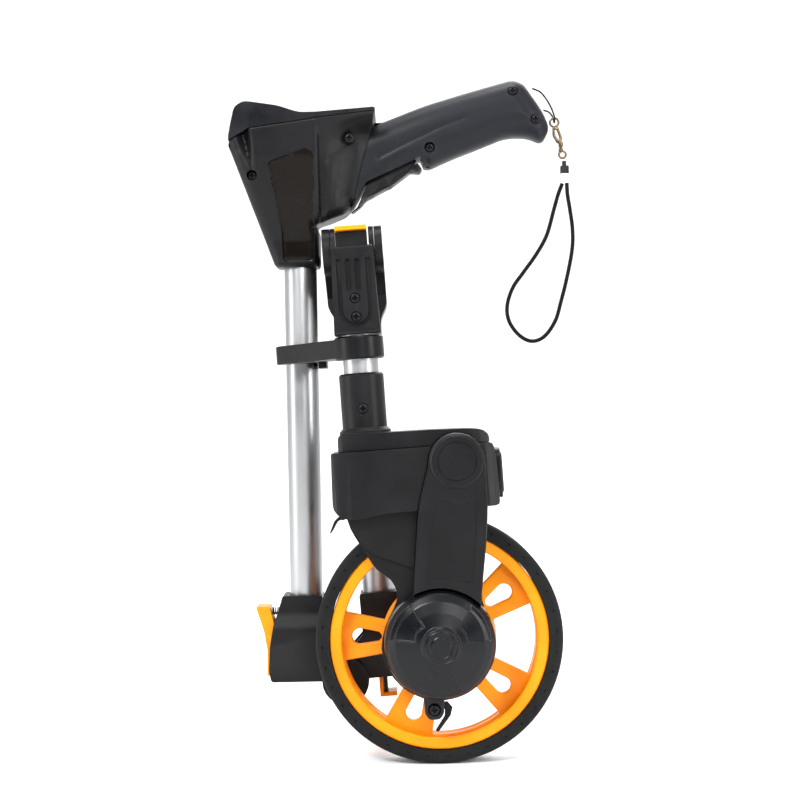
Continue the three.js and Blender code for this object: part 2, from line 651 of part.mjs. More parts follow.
function aboveSeam(shift) {
  const line = BEZEL_SEAM.map(([x, z]) => [x, z + shift]);
  return prism("Y", sharp([...line, [-20, 400], [-160, 400]]), 0, 110);
}
const HEAD_SCREWS = [[-118, 305.2], [-52.7, 329.1]];
const HEAD_SCREW_Y = FOLDED_Y - 24;
function headShells() {
  const cavity = prism("Y", rounded([
    [-101, 266], [-128.5, 325], [-126.5, 345], [-42, 345], [-48, 320], [-58, 290], [-79, 280],
    [-80, 266],
  ], 4), FOLDED_Y - 29, FOLDED_Y + 29).intersect(prism("X", headDepth().map((p) =>
    new THREE.Vector2(FOLDED_Y + (p.x - FOLDED_Y) * 0.88, p.y)), -150, -20));
  const label = rounded([[-107.5, 313.5], [-80, 322.8], [-76, 318.8], [-78, 248.3], [-99, 248],
    [-99.5, 268.7]], 3);
  const depthAt = FOLDED_Y - 33;
  let whole = headSolid().subtract(aboveSeam(0)).subtract(cavity)
    .subtract(prism("Z", circle(HANDLE_X, FOLDED_Y, TUBE_R + GAP), 200, 264));
  const skin = headSolid().translate([0, 0.9, 0]);
  whole = whole.subtract(prism("Y", label, depthAt - 5, FOLDED_Y - 10).subtract(skin));
  HEAD_SCREWS.forEach(([x, z]) => {
    whole = whole.subtract(prism("Y", circle(x, z, SCREW_HEAD_R + GAP, 16), 0, HEAD_SCREW_Y + 2.2))
      .subtract(prism("Y", circle(x, z, SCREW_SHANK_R + GAP, 12), 0, FOLDED_Y + 8));
  });
  const far = 200;
  return {
    front: whole.intersect(box(-far, far, -far, FOLDED_Y - HEAD_SPLIT, 0, 2 * far)),
    rear: whole.intersect(box(-far, far, FOLDED_Y + HEAD_SPLIT, far, 0, 2 * far)),
  };
}
const DISPLAY_X = [-117, -90];
const DISPLAY_Y = [FOLDED_Y - 24, FOLDED_Y + 24];
const BUTTONS = { power_button: -15, zero_button: 15 };
const BUTTON_X = -60;
const BUTTON_R = 6;
const BEZEL_TOP = 346.6;
const LENS_Z = [341.1, 342.7];
function displayBezel() {
  const window = plan(DISPLAY_X[0], DISPLAY_X[1], ...DISPLAY_Y, 3);
  const ledge = plan(DISPLAY_X[0] - 2, DISPLAY_X[1] + 2, DISPLAY_Y[0] - 2, DISPLAY_Y[1] + 2, 3);
  let bezel = headSolid().intersect(aboveSeam(GAP))
    .subtract(prism("Z", window, 300, 400))
    .subtract(prism("Z", ledge, 300, LENS_Z[1] + 0.4));
  Object.values(BUTTONS).forEach((y) => {
    bezel = bezel.subtract(prism("Z", circle(BUTTON_X, FOLDED_Y + y, BUTTON_R + GAP, 24), 300, 400));
  });
  return bezel;
}
function button(y) {
  const place = [BUTTON_X, FOLDED_Y + y, 0];
  return turned("Z", [[0, 338], [BUTTON_R, 338], [BUTTON_R, BEZEL_TOP - 1.2],
    [BUTTON_R - 1, BEZEL_TOP - 0.2], [0, BEZEL_TOP - 0.2]], place, 24);
}

// The liquid crystal panel on its circuit board.
function displayModule() {
  const board = box(-120, -66, DISPLAY_Y[0] - 0.5, DISPLAY_Y[1] + 0.5, 333, 334.6);
  return board.add(box(...DISPLAY_X, ...DISPLAY_Y, 334, LENS_Z[0] - 0.4));
}

const GRIP_HALF = 16;
const GRIP_TOP = [
  [-31.2, 342.2, 3], [-2.7, 352.9], [26, 361.2], [57.4, 369.5], [65, 367], [77.7, 348.2],
  [82.5, 335.8, 5], [77, 325.8, 4], [67.8, 329.9], [59.3, 330.6], [50.7, 329.8], [34.6, 323.6],
  [15.5, 316.5], [1, 310.2, 2],
];
function gripSolid() {
  const outline = rounded([
    [-36.2, 341.5, 0], ...GRIP_TOP, [-3.2, 310.6, 1], [-5.6, 317.4, 1], [-42.6, 300.8, 2],
    [-50.9, 285.8, 1], [GRIP_SEAM[2][0], GRIP_SEAM[2][1], 0], [GRIP_SEAM[1][0], GRIP_SEAM[1][1], 0],
    [GRIP_SEAM[0][0], GRIP_SEAM[0][1], 0],
  ], 7, 3);
  return prism("Y", outline, FOLDED_Y - GRIP_HALF, FOLDED_Y + GRIP_HALF);
}
const GRIP_SCREWS = [[57.2, 360.2], [72.2, 341], [0.7, 323.2]];
const GRIP_SCREW_Y = FOLDED_Y - GRIP_HALF + 2;
function gripShells() {
  const cavity = rounded([[-38, 335], [50, 359], [70, 352], [74, 338], [52, 338], [6, 321],
    [-34, 308]], 5);
  let whole = gripSolid()
    .subtract(prism("Y", cavity, FOLDED_Y - GRIP_HALF + 3.5, FOLDED_Y + GRIP_HALF - 3.5));
  GRIP_SCREWS.forEach(([x, z]) => {
    const boss = prism("Y", circle(x, z, 4.6, 16), GRIP_SCREW_Y - 1, FOLDED_Y + GRIP_HALF - 3);
    whole = whole.add(boss.intersect(gripSolid()))
      .subtract(screwHole(x, GRIP_SCREW_Y, z, 20));
  });
  const far = 200;
  return {
    front: whole.intersect(box(-far, far, -far, FOLDED_Y - HEAD_SPLIT, 0, 2 * far)),
    rear: whole.intersect(box(-far, far, FOLDED_Y + HEAD_SPLIT, far, 0, 2 * far)),
  };
}
function trigger() {
  const outline = rounded([
    [-7.4, 313.2, 1], [-41.4, 299, 1], [-48.8, 285, 1], [-53.4, 281.2, 1], [-51.2, 281.7, 1],
    [-45.3, 286.2], [-43.2, 289.2], [-38, 291.6], [-32.3, 295.6], [-25.6, 297.6], [-20.8, 303.6],
    [-13, 307.8], [-6.4, 306.8], [-4.4, 309.6, 1],
  ], 2.5, 2);
  return prism("Y", outline, FOLDED_Y - GRIP_HALF + 2, FOLDED_Y + GRIP_HALF - 2);
}

// ---- Wrist strap ----
const STRAP_Y = FOLDED_Y;
const STRAP_R = 1.3;
const STRAP_ROUTE = [
  [90.6, 299.2], [87.4, 291], [84.4, 281], [79.2, 264], [71.7, 251], [63, 239.3], [55.5, 228.8],
  [51.5, 216.7], [52.7, 206], [59.5, 196.4], [67.9, 192.4], [76.4, 195.6], [83.9, 206],
  [88, 219], [92.4, 235], [96.4, 254], [96.9, 268], [95.2, 282], [93.8, 291], [93.4, 299.2],
];
const STRAP_SPREAD = 1.6;
function strapLoop() {
  const last = STRAP_ROUTE.length - 1;
  const points = STRAP_ROUTE.map(([x, z], i) => [x, STRAP_Y + STRAP_SPREAD * (1 - (2 * i) / last), z]);
  return cord(points, STRAP_R, 8, 40);
}
const THREAD_ROUTE = [
  [71.2, -1.6, 363.8], [76.6, -1.8, 361.2], [80.8, -2, 356], [84, -2, 350], [85.8, -2.1, 344.5],
  [86, -1.6, 341.3], [85.9, 0, 340.6], [85.8, 1.6, 341.3], [85.2, 2.1, 344.5], [82.6, 2, 348],
  [78.8, 1.6, 349.4],
];
function threadLoop() {
  return cord(THREAD_ROUTE.map(([x, y, z]) => [x, STRAP_Y + y, z]), 0.5, 8, 30);
}
function clasp() {
  const middle = [86.9, 331.6];
  const ring = turned("Y", [[2.2, -0.9], [3.7, -0.9], [3.7, 0.9], [2.2, 0.9], [2.2, -0.9]],
    [85.9, STRAP_Y, 340.6], 16);
  const body = rounded([[84.6, 338.2], [88.4, 338], [91.2, 329.6], [90.4, 325.6], [87.4, 326.2],
    [84.4, 331.6]], 1.5);
  const swivel = turned("Z", [[0, 320.6], [1.6, 320.6], [1.6, 327], [0, 327]], [90, STRAP_Y, 0], 12);
  const eye = turned("Y", [[1.6, -0.8], [3.1, -0.8], [3.1, 0.8], [1.6, 0.8], [1.6, -0.8]],
    [91, STRAP_Y, 318.6], 16);
  return ring.add(prism("Y", body, STRAP_Y - 1.2, STRAP_Y + 1.2)).add(swivel).add(eye)
    .subtract(prism("Y", circle(...middle, 0.8, 8), 0, 100));
}
function crimp() {
  const z0 = 300.2;
  return box(89.4, 95, STRAP_Y - 2.7, STRAP_Y + 2.7, z0, z0 + 10.8)
    .add(box(90.6, 93.4, STRAP_Y - 1.3, STRAP_Y + 1.3, z0 + 10, 314.4));
}

// ---- Assembly ----
// The model is drawn about the wheel's mid-plane, and set back so that the hub cover's flat face
// is at Y = 0.
const part = new THREE.Group();
const setBack = new THREE.Group();
setBack.position.y = -HUB_FACE;
part.add(setBack);
const leaning = new THREE.Group();
leaning.rotation.y = -LEAN;
const handle = new THREE.Group();
setBack.add(leaning, handle);

const shells = forkShells();
leaning.add(
  mesh("lower_tube", tubeOf(STEM_X, 0, 140.3, UPPER_FOLD_Z - TUBE_DEPTH - GAP), ALUMINIUM),
  mesh("stem_socket", stemSocket(), BLACK),
  mesh("fork_front_shell", shells.front, BLACK),
  mesh("fork_rear_shell", shells.rear, BLACK),
  mesh("belt_cover", beltCover(), BLACK),
  mesh("hub_cover", hubCover(), GLOSSY_BLACK),
  mesh("counter_cover", counterCover(), GLOSSY_BLACK),
  mesh("axle", prism("Y", circle(0, 0, AXLE_R, 20), -40, 22), STEEL),
  mesh("socket_screw", screw(STEM_X, -14.8, SOCKET_SCREW_Z, 3), DARK_STEEL),
  mesh("hub_screw", screw(LUG_X, -34, LUG_Z, 14), DARK_STEEL),
  mesh("pointer", pointer(), DARK_STEEL),
  mesh("parking_bracket", parkingBracket(), BLACK),
  mesh("drive_belt", driveBelt(), RUBBER),
  mesh("sensor_board", box(-44, 10, -6, -4.4, 97, 116), BOARD_GREEN),
  mesh("reset_lever", resetLever(), BLACK),
  mesh("wheel_rim", rim(), ORANGE),
  mesh("tyre", tyre(), RUBBER),
  mesh("hub_pulley", hubPulley(), BLACK),
  mesh("front_bearing", bearing(-15, -7), STEEL),
  mesh("rear_bearing", bearing(7, 15), STEEL),
  mesh("counter_pulley", counterPulley(), BLACK),
  mesh("middle_tube", tubeOf(STEM_X, FOLDED_Y, LOWER_FOLD_Z + TUBE_DEPTH + GAP,
    UPPER_FOLD_Z - TUBE_DEPTH - GAP), ALUMINIUM),
);

const forkTop = blockFrame([STEM_X, 0, UPPER_FOLD_Z], [0, 1, 0], [0, 0, -1]);
const middleTop = blockFrame([STEM_X, FOLDED_Y, UPPER_FOLD_Z], [0, -1, 0], [0, 0, -1]);
const middleFoot = blockFrame([STEM_X, FOLDED_Y, LOWER_FOLD_Z], [-1, 0, 0], [0, 0, 1]);
const handleFoot = blockFrame([HANDLE_X, FOLDED_Y, HANDLE_FOLD_Z], [1, 0, 0], [0, 0, 1]);
leaning.add(forkTop, middleTop, middleFoot);
handle.add(handleFoot);
addCatchSide(forkTop, "upper").forEach((shape, i) => {
  forkTop.add(mesh(`upper_hinge_screw_${i + 1}`, shape, DARK_STEEL));
});
addCatchSide(middleFoot, "lower").forEach((shape, i) => {
  middleFoot.add(mesh(`lower_hinge_screw_${i + 1}`, shape, DARK_STEEL));
});
addLatchSide(middleTop, "upper");
addLatchSide(handleFoot, "lower");

const head = headShells();
const grip = gripShells();
handle.add(
  mesh("upper_tube", tubeOf(HANDLE_X, FOLDED_Y, HANDLE_FOLD_Z + TUBE_DEPTH + GAP, 263.7), ALUMINIUM),
  mesh("head_front_shell", head.front, BLACK),
  mesh("head_rear_shell", head.rear, BLACK),
  mesh("display_bezel", displayBezel(), GLOSSY_BLACK),
  mesh("display_lens", prism("Z", plan(DISPLAY_X[0] - 1.5, DISPLAY_X[1] + 1.5, DISPLAY_Y[0] - 1.5,
    DISPLAY_Y[1] + 1.5, 2), ...LENS_Z), CLEAR),
  mesh("display_module", displayModule(), LCD_GREY),
  mesh("grip_front_shell", grip.front, GRIP_BLACK),
  mesh("grip_rear_shell", grip.rear, GRIP_BLACK),
  mesh("trigger", trigger(), BLACK),
  mesh("clasp", clasp(), NICKEL),
  mesh("crimp", crimp(), NICKEL),
  mesh("strap_loop", strapLoop(), WEBBING),
  mesh("thread_loop", threadLoop(), WEBBING),
);
Object.entries(BUTTONS).forEach(([name, y]) => handle.add(mesh(name, button(y), ORANGE)));
HEAD_SCREWS.forEach(([x, z], i) => {
  handle.add(mesh(`head_screw_${i + 1}`, screw(x, HEAD_SCREW_Y, z, 20), DARK_STEEL));
});
GRIP_SCREWS.forEach(([x, z], i) => {
  handle.add(mesh(`grip_screw_${i + 1}`, screw(x, GRIP_SCREW_Y, z, 18), DARK_STEEL));
});

export default part;
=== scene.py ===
"""A folding measuring wheel with a digital display head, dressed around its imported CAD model."""
import json
import math

import bmesh
import bpy
import numpy as np
from mathutils import Matrix, Vector
from mathutils.geometry import delaunay_2d_cdt


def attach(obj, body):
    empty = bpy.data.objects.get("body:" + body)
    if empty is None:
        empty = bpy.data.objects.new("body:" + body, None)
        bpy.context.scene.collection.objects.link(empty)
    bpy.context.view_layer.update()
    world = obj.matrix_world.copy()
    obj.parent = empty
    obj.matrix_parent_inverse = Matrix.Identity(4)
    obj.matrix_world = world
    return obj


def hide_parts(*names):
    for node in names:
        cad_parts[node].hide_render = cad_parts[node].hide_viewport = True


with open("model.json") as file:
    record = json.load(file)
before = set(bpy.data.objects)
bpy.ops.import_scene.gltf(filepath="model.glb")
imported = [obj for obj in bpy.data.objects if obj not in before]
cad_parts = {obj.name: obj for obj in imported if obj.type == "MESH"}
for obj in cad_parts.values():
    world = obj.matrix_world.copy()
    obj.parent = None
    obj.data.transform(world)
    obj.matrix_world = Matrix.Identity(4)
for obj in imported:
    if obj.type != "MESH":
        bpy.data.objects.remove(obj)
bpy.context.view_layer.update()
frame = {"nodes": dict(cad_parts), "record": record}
NODES = frame["nodes"]
BODY_OF = {n: b for b, names in frame["record"]["behaviour"]["bodies"].items() for n in names}

# ---- Driving dimensions, in millimetres, as the CAD model draws them ----
LEAN = math.radians(3.1)
SET_BACK = 51.5
GAP = 0.3
FOLDED_Y = 52.0
STEM_X = -38.0
HANDLE_X = -88.3
UPPER_FOLD_Z = 256.0
LOWER_FOLD_Z = -29.3
HANDLE_FOLD_Z = -32.7
TUBE_R = 11.0
TUBE_WALL = 1.2
TUBE_DEPTH = 20.0
WHEEL_ROLL = 500.0  # along the ground per turn
TYRE_INSET = 0.13  # of the drawn tyre inside that circle
TYRE_R = WHEEL_ROLL / math.tau - TYRE_INSET
TYRE_HALF_WIDTH = 14.0
RIM_R = 70.3
RIM_INNER_R = 62.6
HUB_DISC_R = 37.0
SPOKES = 5
FIRST_SPOKE = math.radians(31)
HUB_COVER_R = 35.4
HUB_COVER_BACK = -24.3
LUG_X, LUG_Z = -6.7, -41.3
GRIP_HALF = 16.0
TRIGGER_HALF = 14.0
SHELL_GAP = 0.15
HEAD_SCREW_FACE = 24.0
GRIP_SCREW_FACE = 14.0

# ---- The same, in metres in the row frame ----
FLOOR_Z = -0.0798
TYRE_FRONT_Y = 0.0375
FERRULE_Z = 0.3056

MM = Matrix.Scale(0.001, 4)
UPRIGHT = MM @ Matrix.Translation((0, SET_BACK, 0))
LEANING = UPRIGHT @ Matrix.Rotation(-LEAN, 4, "Y")


# ---- Camera: its azimuth, elevation and roll in degrees, its place in metres and its lens in mm ----
CAMERA_ANGLES = (0.1, -0.4, -1.12)
CAMERA_DISTANCE = 1.1
CAMERA_LENS = 77.4
SENSOR_WIDTH = 36
AIM_LEFT = 0.0254
AIM_UP = 0.1533


def make_camera():
    azimuth, elevation, roll = (math.radians(v) for v in CAMERA_ANGLES)
    back = Vector((
        math.sin(azimuth) * math.cos(elevation),
        -math.cos(azimuth) * math.cos(elevation),
        math.sin(elevation),
    ))
    right = Vector((math.cos(azimuth), math.sin(azimuth), 0))
    up = back.cross(right)
    right_rolled = right * math.cos(roll) + up * math.sin(roll)
    up_rolled = up * math.cos(roll) - right * math.sin(roll)
    aim = Vector((0, TYRE_FRONT_Y, 0)) - right_rolled * AIM_LEFT + up_rolled * AIM_UP
    camera = bpy.data.objects.new("camera", bpy.data.cameras.new("camera"))
    bpy.context.scene.collection.objects.link(camera)
    axes = Matrix((right_rolled, up_rolled, back)).transposed().to_4x4()
    camera.matrix_world = Matrix.Translation(aim + back * CAMERA_DISTANCE) @ axes
    camera.data.sensor_width = SENSOR_WIDTH
    camera.data.lens = CAMERA_LENS
    camera.data.clip_end = 50
    bpy.context.scene.camera = camera


make_camera()


# ---- Materials ----
class Nodes:
    """Short names for the few shader nodes that every material is made of."""

    def __init__(self, name):
        self.material = bpy.data.materials.new(name)
        self.material.use_nodes = True
        self.tree = self.material.node_tree
        self.shader = self.tree.nodes["Principled BSDF"]
        self.object_space = self.tree.nodes.new("ShaderNodeTexCoord").outputs["Object"]

    def link(self, output, socket):
        self.tree.links.new(output, socket)

    def mapped(self, scale=(1, 1, 1), rotation=(0, 0, 0)):
        node = self.tree.nodes.new("ShaderNodeMapping")
        node.inputs["Scale"].default_value = scale
        node.inputs["Rotation"].default_value = rotation
        self.link(self.object_space, node.inputs["Vector"])
        return node.outputs["Vector"]

    def noise(self, scale, detail=2.0, vector=None, roughness=0.5):
        node = self.tree.nodes.new("ShaderNodeTexNoise")
        node.inputs["Scale"].default_value = scale
        node.inputs["Detail"].default_value = detail
        node.inputs["Roughness"].default_value = roughness
        self.link(vector or self.object_space, node.inputs["Vector"])
        return node.outputs["Fac"]

    def cells(self, scale):
        node = self.tree.nodes.new("ShaderNodeTexVoronoi")
        node.inputs["Scale"].default_value = scale
        self.link(self.object_space, node.inputs["Vector"])
        return node.outputs["Distance"]

    def ranged(self, value, low, high, to_low, to_high):
        node = self.tree.nodes.new("ShaderNodeMapRange")
        for socket, number in zip(node.inputs[1:5], (low, high, to_low, to_high)):
            socket.default_value = number
        self.link(value, node.inputs[0])
        return node.outputs[0]

    def maths(self, operation, a, b):
        node = self.tree.nodes.new("ShaderNodeMath")
        node.operation = operation
        for socket, value in zip(node.inputs, (a, b)):
            if isinstance(value, (int, float)):
                socket.default_value = value
            else:
                self.link(value, socket)
        return node.outputs[0]

    def mixed(self, factor, a, b):
        node = self.tree.nodes.new("ShaderNodeMix")
        node.data_type = "RGBA"
        self.link(factor, node.inputs[0])
        for socket, value in ((node.inputs[6], a), (node.inputs[7], b)):
            if isinstance(value, tuple):
                socket.default_value = (*value, 1)
            else:
                self.link(value, socket)
        return node.outputs[2]

    def bumped(self, height, distance, strength, normal=None):
        node = self.tree.nodes.new("ShaderNodeBump")
        node.inputs["Strength"].default_value = strength
        node.inputs["Distance"].default_value = distance
        self.link(height, node.inputs["Height"])
        if normal is not None:
            self.link(normal, node.inputs["Normal"])
        return node.outputs["Normal"]

    def edges(self, low=0.52, high=0.6):
        pointiness = self.tree.nodes.new("ShaderNodeNewGeometry").outputs["Pointiness"]
        return self.ranged(pointiness, low, high, 0, 1)

    def finish(self, color, roughness, normal, **constants):
        self.link(color, self.shader.inputs["Base Color"])
        self.link(roughness, self.shader.inputs["Roughness"])
        self.link(normal, self.shader.inputs["Normal"])
        for name, value in constants.items():
            self.shader.inputs[name.replace("_", " ")].default_value = value
        return self.material


def moulded(name, color, worn, roughness, grain=1900, depth=0.00005, spread=0.07, **constants):
    """A moulded plastic: fine spark-eroded grain, a slow waviness, dust in the grain, and lighter convex
    edges that are partly rubbed wear and partly a painted edge highlight.
    """
    n = Nodes(name)
    slow = n.noise(38, 4)
    fine = n.noise(grain, 3, roughness=0.6)
    patches = n.mixed(n.ranged(slow, 0.35, 0.65, 0, 1), color, tuple(c * 1.22 for c in color))
    scuffs = n.noise(160, 6, n.mapped((1, 1, 0.25), (0.3, 0.5, 0.2)), 0.7)
    scuffed = n.mixed(n.ranged(scuffs, 0.62, 0.8, 0, 0.35), patches, worn)
    # the worn colour laid on convex edges: partly rubbed wear, partly a painted highlight along the edges
    rubbed_and_highlit = n.mixed(n.maths("MULTIPLY", n.edges(), n.ranged(slow, 0.3, 0.7, 0.25, 0.8)), scuffed, worn)
    uneven = n.maths("ADD", n.ranged(slow, 0.3, 0.7, roughness - spread, roughness + spread),
                     n.ranged(scuffs, 0.6, 0.8, 0, -0.08))
    wave = n.bumped(slow, 0.0006, 0.12)
    return n.finish(rubbed_and_highlit, uneven, n.bumped(fine, depth, 0.55, wave), **constants)


def drawn_metal(name, color, roughness):
    """A drawn tube: lengthwise hairlines, handling scratches and a faint dulling."""
    n = Nodes(name)
    along = n.mapped((1, 1, 0.012))
    hairs = n.noise(2600, 3, along, 0.7)
    slow = n.noise(22, 3)
    marks = n.noise(420, 5, n.mapped((1, 1, 0.2), (0, 0.12, 0.4)), 0.75)
    shade = n.mixed(n.ranged(hairs, 0.3, 0.7, 0, 1), tuple(c * 0.93 for c in color), color)
    dulled = n.mixed(n.ranged(marks, 0.66, 0.8, 0, 0.5), shade, tuple(c * 0.6 for c in color))
    rough = n.maths("ADD", n.ranged(hairs, 0.3, 0.7, roughness - 0.03, roughness + 0.04),
                    n.ranged(slow, 0.35, 0.65, -0.03, 0.05))
    normal = n.bumped(hairs, 0.00002, 0.2)
    return n.finish(dulled, rough, normal, Metallic=1.0)


def turned_metal(name, color, roughness):
    """A plated or blued small part: cloudy plating, tiny pits and worn crowns."""
    n = Nodes(name)
    cloud = n.noise(300, 4)
    pits = n.cells(2400)
    shade = n.mixed(n.ranged(cloud, 0.35, 0.65, 0, 1), tuple(c * 0.75 for c in color), color)
    worn = n.mixed(n.edges(0.51, 0.58), shade, tuple(min(1, c * 1.5 + 0.01) for c in color))
    rough = n.ranged(cloud, 0.3, 0.7, roughness - 0.07, roughness + 0.1)
    return n.finish(worn, rough, n.bumped(pits, 0.00003, 0.35), Metallic=1.0)


def tyre_rubber(name):
    """Speckled tyre compound: pale dust specks on near black, with a matt grain."""
    n = Nodes(name)
    specks = n.noise(1500, 5, roughness=0.8)
    slow = n.noise(30, 3)
    base = n.mixed(n.ranged(slow, 0.35, 0.65, 0, 1), (0.0045, 0.0045, 0.005), (0.008, 0.008, 0.0085))
    dusty = n.mixed(n.ranged(specks, 0.56, 0.72, 0, 0.8), base, (0.038, 0.038, 0.040))
    rough = n.ranged(specks, 0.35, 0.7, 0.72, 0.92)
    return n.finish(dusty, rough, n.bumped(specks, 0.00015, 0.6), Specular_IOR_Level=0.2)


def glossy_orange(name):
    """Bright orange moulding: deeper colour in its thick parts, orange-peel gloss and brighter convex edges
    that are partly rubbed wear and partly a painted edge highlight.
    """
    n = Nodes(name)
    slow = n.noise(26, 3)
    peel = n.noise(420, 2)
    scuffs = n.noise(260, 6, n.mapped((1, 1, 0.3), (0.2, 0.4, 0.7)), 0.75)
    shade = n.mixed(n.ranged(slow, 0.35, 0.65, 0, 1), (0.80, 0.222, 0.003), (0.90, 0.296, 0.004))
    scuffed = n.mixed(n.ranged(scuffs, 0.66, 0.82, 0, 0.3), shade, (0.78, 0.34, 0.05))
    # the brighter orange on convex edges is partly rubbed wear and partly a painted highlight along the edges
    rubbed_and_highlit = n.mixed(n.maths("MULTIPLY", n.edges(), 0.35), scuffed, (0.98, 0.46, 0.03))
    rough = n.maths("ADD", n.ranged(peel, 0.3, 0.7, 0.27, 0.36), n.ranged(scuffs, 0.62, 0.8, 0, 0.15))
    return n.finish(rubbed_and_highlit, rough, n.bumped(peel, 0.00005, 0.4), Specular_IOR_Level=0.16)


def braided(name):
    """Woven cord: the rise and fall of crossing strands, with stray lighter fibres."""
    n = Nodes(name)
    weave = []
    for angle in (0.62, -0.62):
        wave = n.tree.nodes.new("ShaderNodeTexWave")
        wave.inputs["Scale"].default_value = 420
        wave.inputs["Distortion"].default_value = 0.6
        n.link(n.mapped((1, 1, 1), (0, angle, 0)), wave.inputs["Vector"])
        weave.append(wave.outputs["Fac"])
    cross = n.maths("MULTIPLY", *weave)
    fibres = n.noise(3800, 4, n.mapped((1, 1, 0.25)), 0.8)
    base = n.mixed(cross, (0.0025, 0.0025, 0.003), (0.010, 0.010, 0.011))
    fuzzy = n.mixed(n.ranged(fibres, 0.6, 0.8, 0, 0.5), base, (0.026, 0.026, 0.028))
    rough = n.ranged(fibres, 0.3, 0.7, 0.82, 0.98)
    return n.finish(fuzzy, rough, n.bumped(cross, 0.00035, 0.9), Sheen_Weight=0.05,
                    Specular_IOR_Level=0.15)


def circuit_board(name):
    """Green solder mask with copper tracks showing through."""
    n = Nodes(name)
    tracks = n.cells(320)
    fine = n.noise(900, 3)
    base = n.mixed(n.ranged(tracks, 0.25, 0.3, 0, 1), (0.045, 0.22, 0.08), (0.012, 0.10, 0.035))
    rough = n.ranged(fine, 0.3, 0.7, 0.3, 0.5)
    return n.finish(base, rough, n.bumped(tracks, 0.00005, 0.4))


def liquid_crystal(name):
    """Grey-green reflective display, a little cloudy, behind polarising film."""
    n = Nodes(name)
    film = n.noise(900, 2)
    slow = n.noise(45, 2)
    base = n.mixed(n.ranged(slow, 0.3, 0.7, 0, 1), (0.27, 0.31, 0.23), (0.34, 0.38, 0.29))
    return n.finish(base, n.ranged(film, 0.3, 0.7, 0.28, 0.42), n.bumped(film, 0.00001, 0.3))


def clear_window(name):
    """Clear acrylic with a few handling marks."""
    n = Nodes(name)
    marks = n.noise(700, 6, n.mapped((1, 0.3, 1), (0, 0, 0.6)), 0.8)
    base = n.mixed(n.ranged(marks, 0.6, 0.8, 0, 0.3), (0.92, 0.96, 0.97), (0.7, 0.74, 0.75))
    rough = n.ranged(marks, 0.5, 0.8, 0.03, 0.2)
    return n.finish(base, rough, n.bumped(marks, 0.00001, 0.2), Transmission_Weight=1.0, IOR=1.49)


SATIN = (0.0030, 0.0031, 0.0038)
# the worn colours here serve both the scuffs and a painted highlight along the convex edges
SATIN_WEAR_AND_HIGHLIGHT = (0.017, 0.017, 0.019)
FINISHES = {
    "black_plastic": moulded("satin_black", SATIN, SATIN_WEAR_AND_HIGHLIGHT, 0.40, Specular_IOR_Level=0.2),
    "gloss_black": moulded("gloss_black", (0.0028, 0.0032, 0.0045), (0.016, 0.017, 0.019), 0.30,
                           grain=1400, depth=0.00002, Specular_IOR_Level=0.24),
    "grip_plastic": moulded("grip_black", (0.0034, 0.0046, 0.0074), (0.018, 0.020, 0.025), 0.45,
                            grain=2300, depth=0.00006, Specular_IOR_Level=0.22),
    "orange_plastic": glossy_orange("orange_moulding"),
    "tyre_rubber": tyre_rubber("tyre_compound"),
    "belt_rubber": moulded("belt_rubber", (0.02, 0.02, 0.021), (0.06, 0.06, 0.06), 0.85, grain=900),
    "tube_aluminium": drawn_metal("drawn_aluminium", (0.40, 0.405, 0.415), 0.38),
    "steel": turned_metal("bright_steel", (0.52, 0.52, 0.53), 0.3),
    "label_film": moulded("label_film", (0.0042, 0.0030, 0.0020), (0.016, 0.012, 0.009), 0.26, grain=600,
                          depth=0.00001, spread=0.04, Specular_IOR_Level=0.12),
    "dark_steel": turned_metal("blued_steel", (0.013, 0.013, 0.015), 0.42),
    "nickel": turned_metal("plated_brass", (0.125, 0.09, 0.052), 0.27),
    "board_green": circuit_board("circuit_board"),
    "display_grey": liquid_crystal("liquid_crystal"),
    "clear_lens": clear_window("clear_window"),
    "webbing": braided("braided_cord"),
}


# ---- Pieces ----
def place(name, mesh, body, slot, replaced=(), extra=()):
    """A mesh in the row frame becomes a piece on a body, in place of the CAD nodes it stands for."""
    piece = bpy.data.objects.new(name, mesh)
    bpy.context.scene.collection.objects.link(piece)
    for finish in (slot, *extra):
        mesh.materials.append(FINISHES[finish])
    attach(piece, body)
    if replaced:
        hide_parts(*replaced)
    return piece


def to_mesh(bm, name, placing, crease=38):
    """Puts a bmesh in the row frame, shaded smooth except across its sharp edges."""
    bmesh.ops.recalc_face_normals(bm, faces=bm.faces)
    for face in bm.faces:
        face.smooth = True
    limit = math.radians(crease)
    for edge in bm.edges:
        edge.smooth = edge.calc_face_angle(0) < limit
    mesh = bpy.data.meshes.new(name)
    bm.to_mesh(mesh)
    bm.free()
    mesh.transform(placing)
    return mesh


def weigh_normals(piece):
    modifier = piece.modifiers.new("weighted_normals", "WEIGHTED_NORMAL")
    modifier.keep_sharp = True
    modifier.weight = 60


SHARP_ANGLE = math.radians(26)
FLAT_ANGLE = math.radians(1)


def refined(node, slot, width, segments=3):
    """The CAD node's own form with its sharp edges rounded, as a moulding's or a casting's are."""
    source = NODES[node].data
    bm = bmesh.new()
    corners = [bm.verts.new(v.co * 1000) for v in source.vertices]
    for polygon in source.polygons:
        bm.faces.new([corners[i] for i in polygon.vertices])
    bmesh.ops.remove_doubles(bm, verts=bm.verts, dist=0.002)
    bmesh.ops.dissolve_degenerate(bm, dist=0.002, edges=bm.edges)
    bmesh.ops.dissolve_limit(bm, angle_limit=FLAT_ANGLE, verts=bm.verts, edges=bm.edges)
    sharp = [e for e in bm.edges if len(e.link_faces) == 2 and e.calc_face_angle(0) > SHARP_ANGLE]
    bmesh.ops.bevel(bm, geom=sharp, offset=width, segments=segments, profile=0.5, affect="EDGES",
                    clamp_overlap=True, offset_type="OFFSET")
    bmesh.ops.remove_doubles(bm, verts=bm.verts, dist=0.001)
    name = f"{node}_finished"
    piece = place(name, to_mesh(bm, name, MM), BODY_OF[node], slot, (node,))
    weigh_normals(piece)
    return piece


